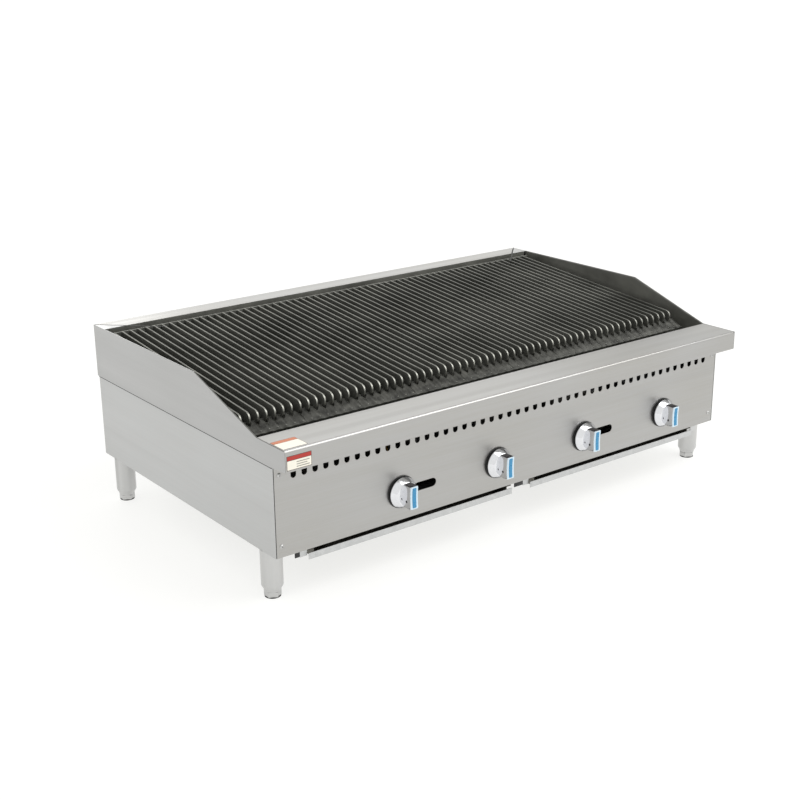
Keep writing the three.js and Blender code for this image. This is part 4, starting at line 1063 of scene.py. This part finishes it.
def front_film(name, left, bottom, right, top, material, lift=0):
    film(name, (left, LEDGE_FRONT - FILM, bottom), (right, LEDGE_FRONT, top), 1, material, lift)


top_film("ledge_top_label", -606, -368, -553, -323, border_film)
top_film("ledge_top_label_field", -605, -367, -554, -336, cream_film, FILM)
top_film("ledge_top_label_band", -605, -335, -554, -324, orange_film, FILM)
front_film("ledge_front_label", -604.5, 287, -551.5, 314.3, border_film)
front_film("ledge_front_label_field", -603.5, 288, -552.5, 305, cream_film, FILM)
front_film("ledge_front_label_band", -603.5, 306, -552.5, 313.3, red_film, FILM)
for k in range(LABEL_LINES):
    bottom = 291 + 4.4 * k
    right = -556 - 5 * (k % 2)
    front_film(f"ledge_front_label_line_{k + 1}", -584, bottom, right, bottom + 1.6, grey_film, 2 * FILM)
print("films are", FILM, "mm thick")

# %% [markdown]
# ## Painted shade in the joints and channel ends
# Where two sheets meet, a thin dark strip stands in as painted shade in the seam: under each splash, down
# the two front corners and across the mitred corners of the rear flange. Small dark plates just behind the
# fronts of the channels in which the trays run are painted shade too.


# %% Painted shade in joints and channel ends
def bead(name, points, axis, length, material, edge=0.2):
    """A thin strip: a closed outline in millimetres pushed along an axis, with its edges eased."""
    bm = bmesh.new()
    extruded(bm, [Vector(p) * MM for p in points], axis, length * MM)
    bmesh.ops.recalc_face_normals(bm, faces=bm.faces)
    eased(bm, sharp_edges(bm, 40), edge, 1)
    return make_piece(name, bm, [material], "chassis", (), 30)


SPLASH_LOW, SPLASH_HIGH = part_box("left_splash")
FLANGE_BACK = SPLASH_HIGH.y / MM
FLANGE_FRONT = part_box("rear_liner")[0].y / MM
FLANGE_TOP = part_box("rear_splash")[1].z / MM
CHANNEL_TOP = 98.6
SHADE_PLATE_THICKNESS = 1.5


def make_joints():
    """The dark strips of painted shade on each side: under the splash, down the front corner and across the
    rear mitre.
    """
    case_front, case_back = SIDE_LOW.y / MM, SIDE_HIGH.y / MM
    top = SPLASH_LOW.z / MM - 0.1
    outer = abs(SIDE_LOW.x) / MM
    for side, name in ((-1, "left"), (1, "right")):
        x, y = side * outer, case_front + 1
        outline = [(x, y, top - 3.4), (x + side * 1.2, y, top - 3), (x + side * 1.4, y, top), (x, y, top)]
        bead(f"{name}_splash_painted_shade_line", outline, (0, 1, 0), case_back - y - 1, black_shade_lines_and_card)
        front, low, high = PANEL_LOW.y / MM, PANEL_LOW.z / MM, PANEL_HIGH.z / MM
        edge = side * (PANEL_HIGH.x / MM)
        outline = [(edge, front - 0.2, low + 1), (edge, front + 0.4, low + 1)]
        outline += [(edge - side * 0.9, front + 0.4, low + 1), (edge - side * 0.9, front - 0.2, low + 1)]
        bead(f"{name}_corner_painted_shade_line", outline, (0, 0, 1), high - low - 2, black_shade_lines_and_card, 0.1)
        inner = outer + 1
        depth = FLANGE_BACK - FLANGE_FRONT - 2
        corner = (side * inner, FLANGE_BACK - 1, FLANGE_TOP)
        far = (side * (inner - depth), FLANGE_BACK - 1 - depth, FLANGE_TOP)
        width = Vector((side * 1.8, -1.8, 0))
        outline = [Vector(corner), Vector(far), Vector(far) + width, Vector(corner) + width]
        bead(f"{name}_mitre_painted_shade_line", outline, (0, 0, 1), 0.15, black_shade_lines_and_card, 0.05)


def painted_shade_plate(name, left, right, low):
    """A small dark plate just behind the open front of a tray channel: painted shade for the shadowed end of
    the channel.
    """
    bm = bmesh.new()
    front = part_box("tray_divider")[0].y / MM + 0.4
    block(bm, (left, front, low), (right, front + SHADE_PLATE_THICKNESS, CHANNEL_TOP))
    eased(bm, bm.edges[:], 0.4, 2)
    return make_piece(name, bm, [black_phenolic_and_painted_shade], "chassis", (), 30)


make_joints()
painted_shade_plate("left_channel_painted_shade", -562.5, -552.2, 87)
painted_shade_plate("middle_channel_painted_shade", -15, 8.6, 88)
print("rear flange is", round(FLANGE_BACK - FLANGE_FRONT), "mm deep")

# %% [markdown]
# ## Studio
# The unit stands on a white floor that runs to the horizon, lit from all round by a white sky, as in a
# light tent. Two weak soft lights behind brighten the level tops, and one above the front draws the line
# along the ledge's bend. The floor glows a little, as backlit acrylic does, which keeps the shadow under
# the case faint. A lamp is written as its place, the point it looks at, its two sides and its power.

# %% Studio
def make_floor():
    bm = bmesh.new()
    bmesh.ops.create_grid(bm, x_segments=1, y_segments=1, size=40)
    mesh = bpy.data.meshes.new("studio_floor")
    bm.to_mesh(mesh)
    bm.free()
    material, shader = new_material("white_acrylic_floor", Roughness=0.7, Specular_IOR_Level=0.1)
    shader.inputs["Base Color"].default_value = linear("8c8c8c")
    shader.inputs["Emission Color"].default_value = linear("fdfdfb")
    shader.inputs["Emission Strength"].default_value = 0.78
    mesh.materials.append(material)
    floor = bpy.data.objects.new("studio_floor", mesh)
    scene.collection.objects.link(floor)


def make_sky(strength):
    world = bpy.data.worlds.new("light_tent")
    world.use_nodes = True
    background = world.node_tree.nodes["Background"]
    background.inputs["Color"].default_value = linear("fdfdfb")
    background.inputs["Strength"].default_value = strength
    scene.world = world


def make_light(name, place, target, size, power):
    data = bpy.data.lights.new(name, "AREA")
    data.shape = "RECTANGLE"
    data.size, data.size_y = size
    data.energy = power
    light = bpy.data.objects.new(name, data)
    light.location = place
    light.rotation_mode = "QUATERNION"
    light.rotation_quaternion = (Vector(target) - Vector(place)).to_track_quat("-Z", "Y")
    scene.collection.objects.link(light)


def make_dark_card():
    """A black board high above: without it chrome has nothing dark to mirror and looks like grey paint."""
    bm = bmesh.new()
    bmesh.ops.create_grid(bm, x_segments=1, y_segments=1, size=1)
    bmesh.ops.scale(bm, vec=(4.2, 2.0, 1), verts=bm.verts)
    bmesh.ops.translate(bm, vec=(3.2, 0, 6.2), verts=bm.verts)
    mesh = bpy.data.meshes.new("dark_card")
    bm.to_mesh(mesh)
    bm.free()
    mesh.materials.append(black_shade_lines_and_card)
    card = bpy.data.objects.new("dark_card", mesh)
    scene.collection.objects.link(card)


make_floor()
make_sky(1.0)
make_light("rear_softbox", (0.4, 3.9, 1.95), (-0.4, 0, 0.3), (1.8, 2.0), 12)
make_light("rear_right_softbox", (1.9, 3.4, 1.95), (0, 0, 0.3), (2.7, 2.0), 6)
make_light("front_softbox", (0.75, -1.1, 2.1), (-0.3, -0.37, 0.33), (2.1, 2.1), 36)
make_dark_card()
print("studio ready")
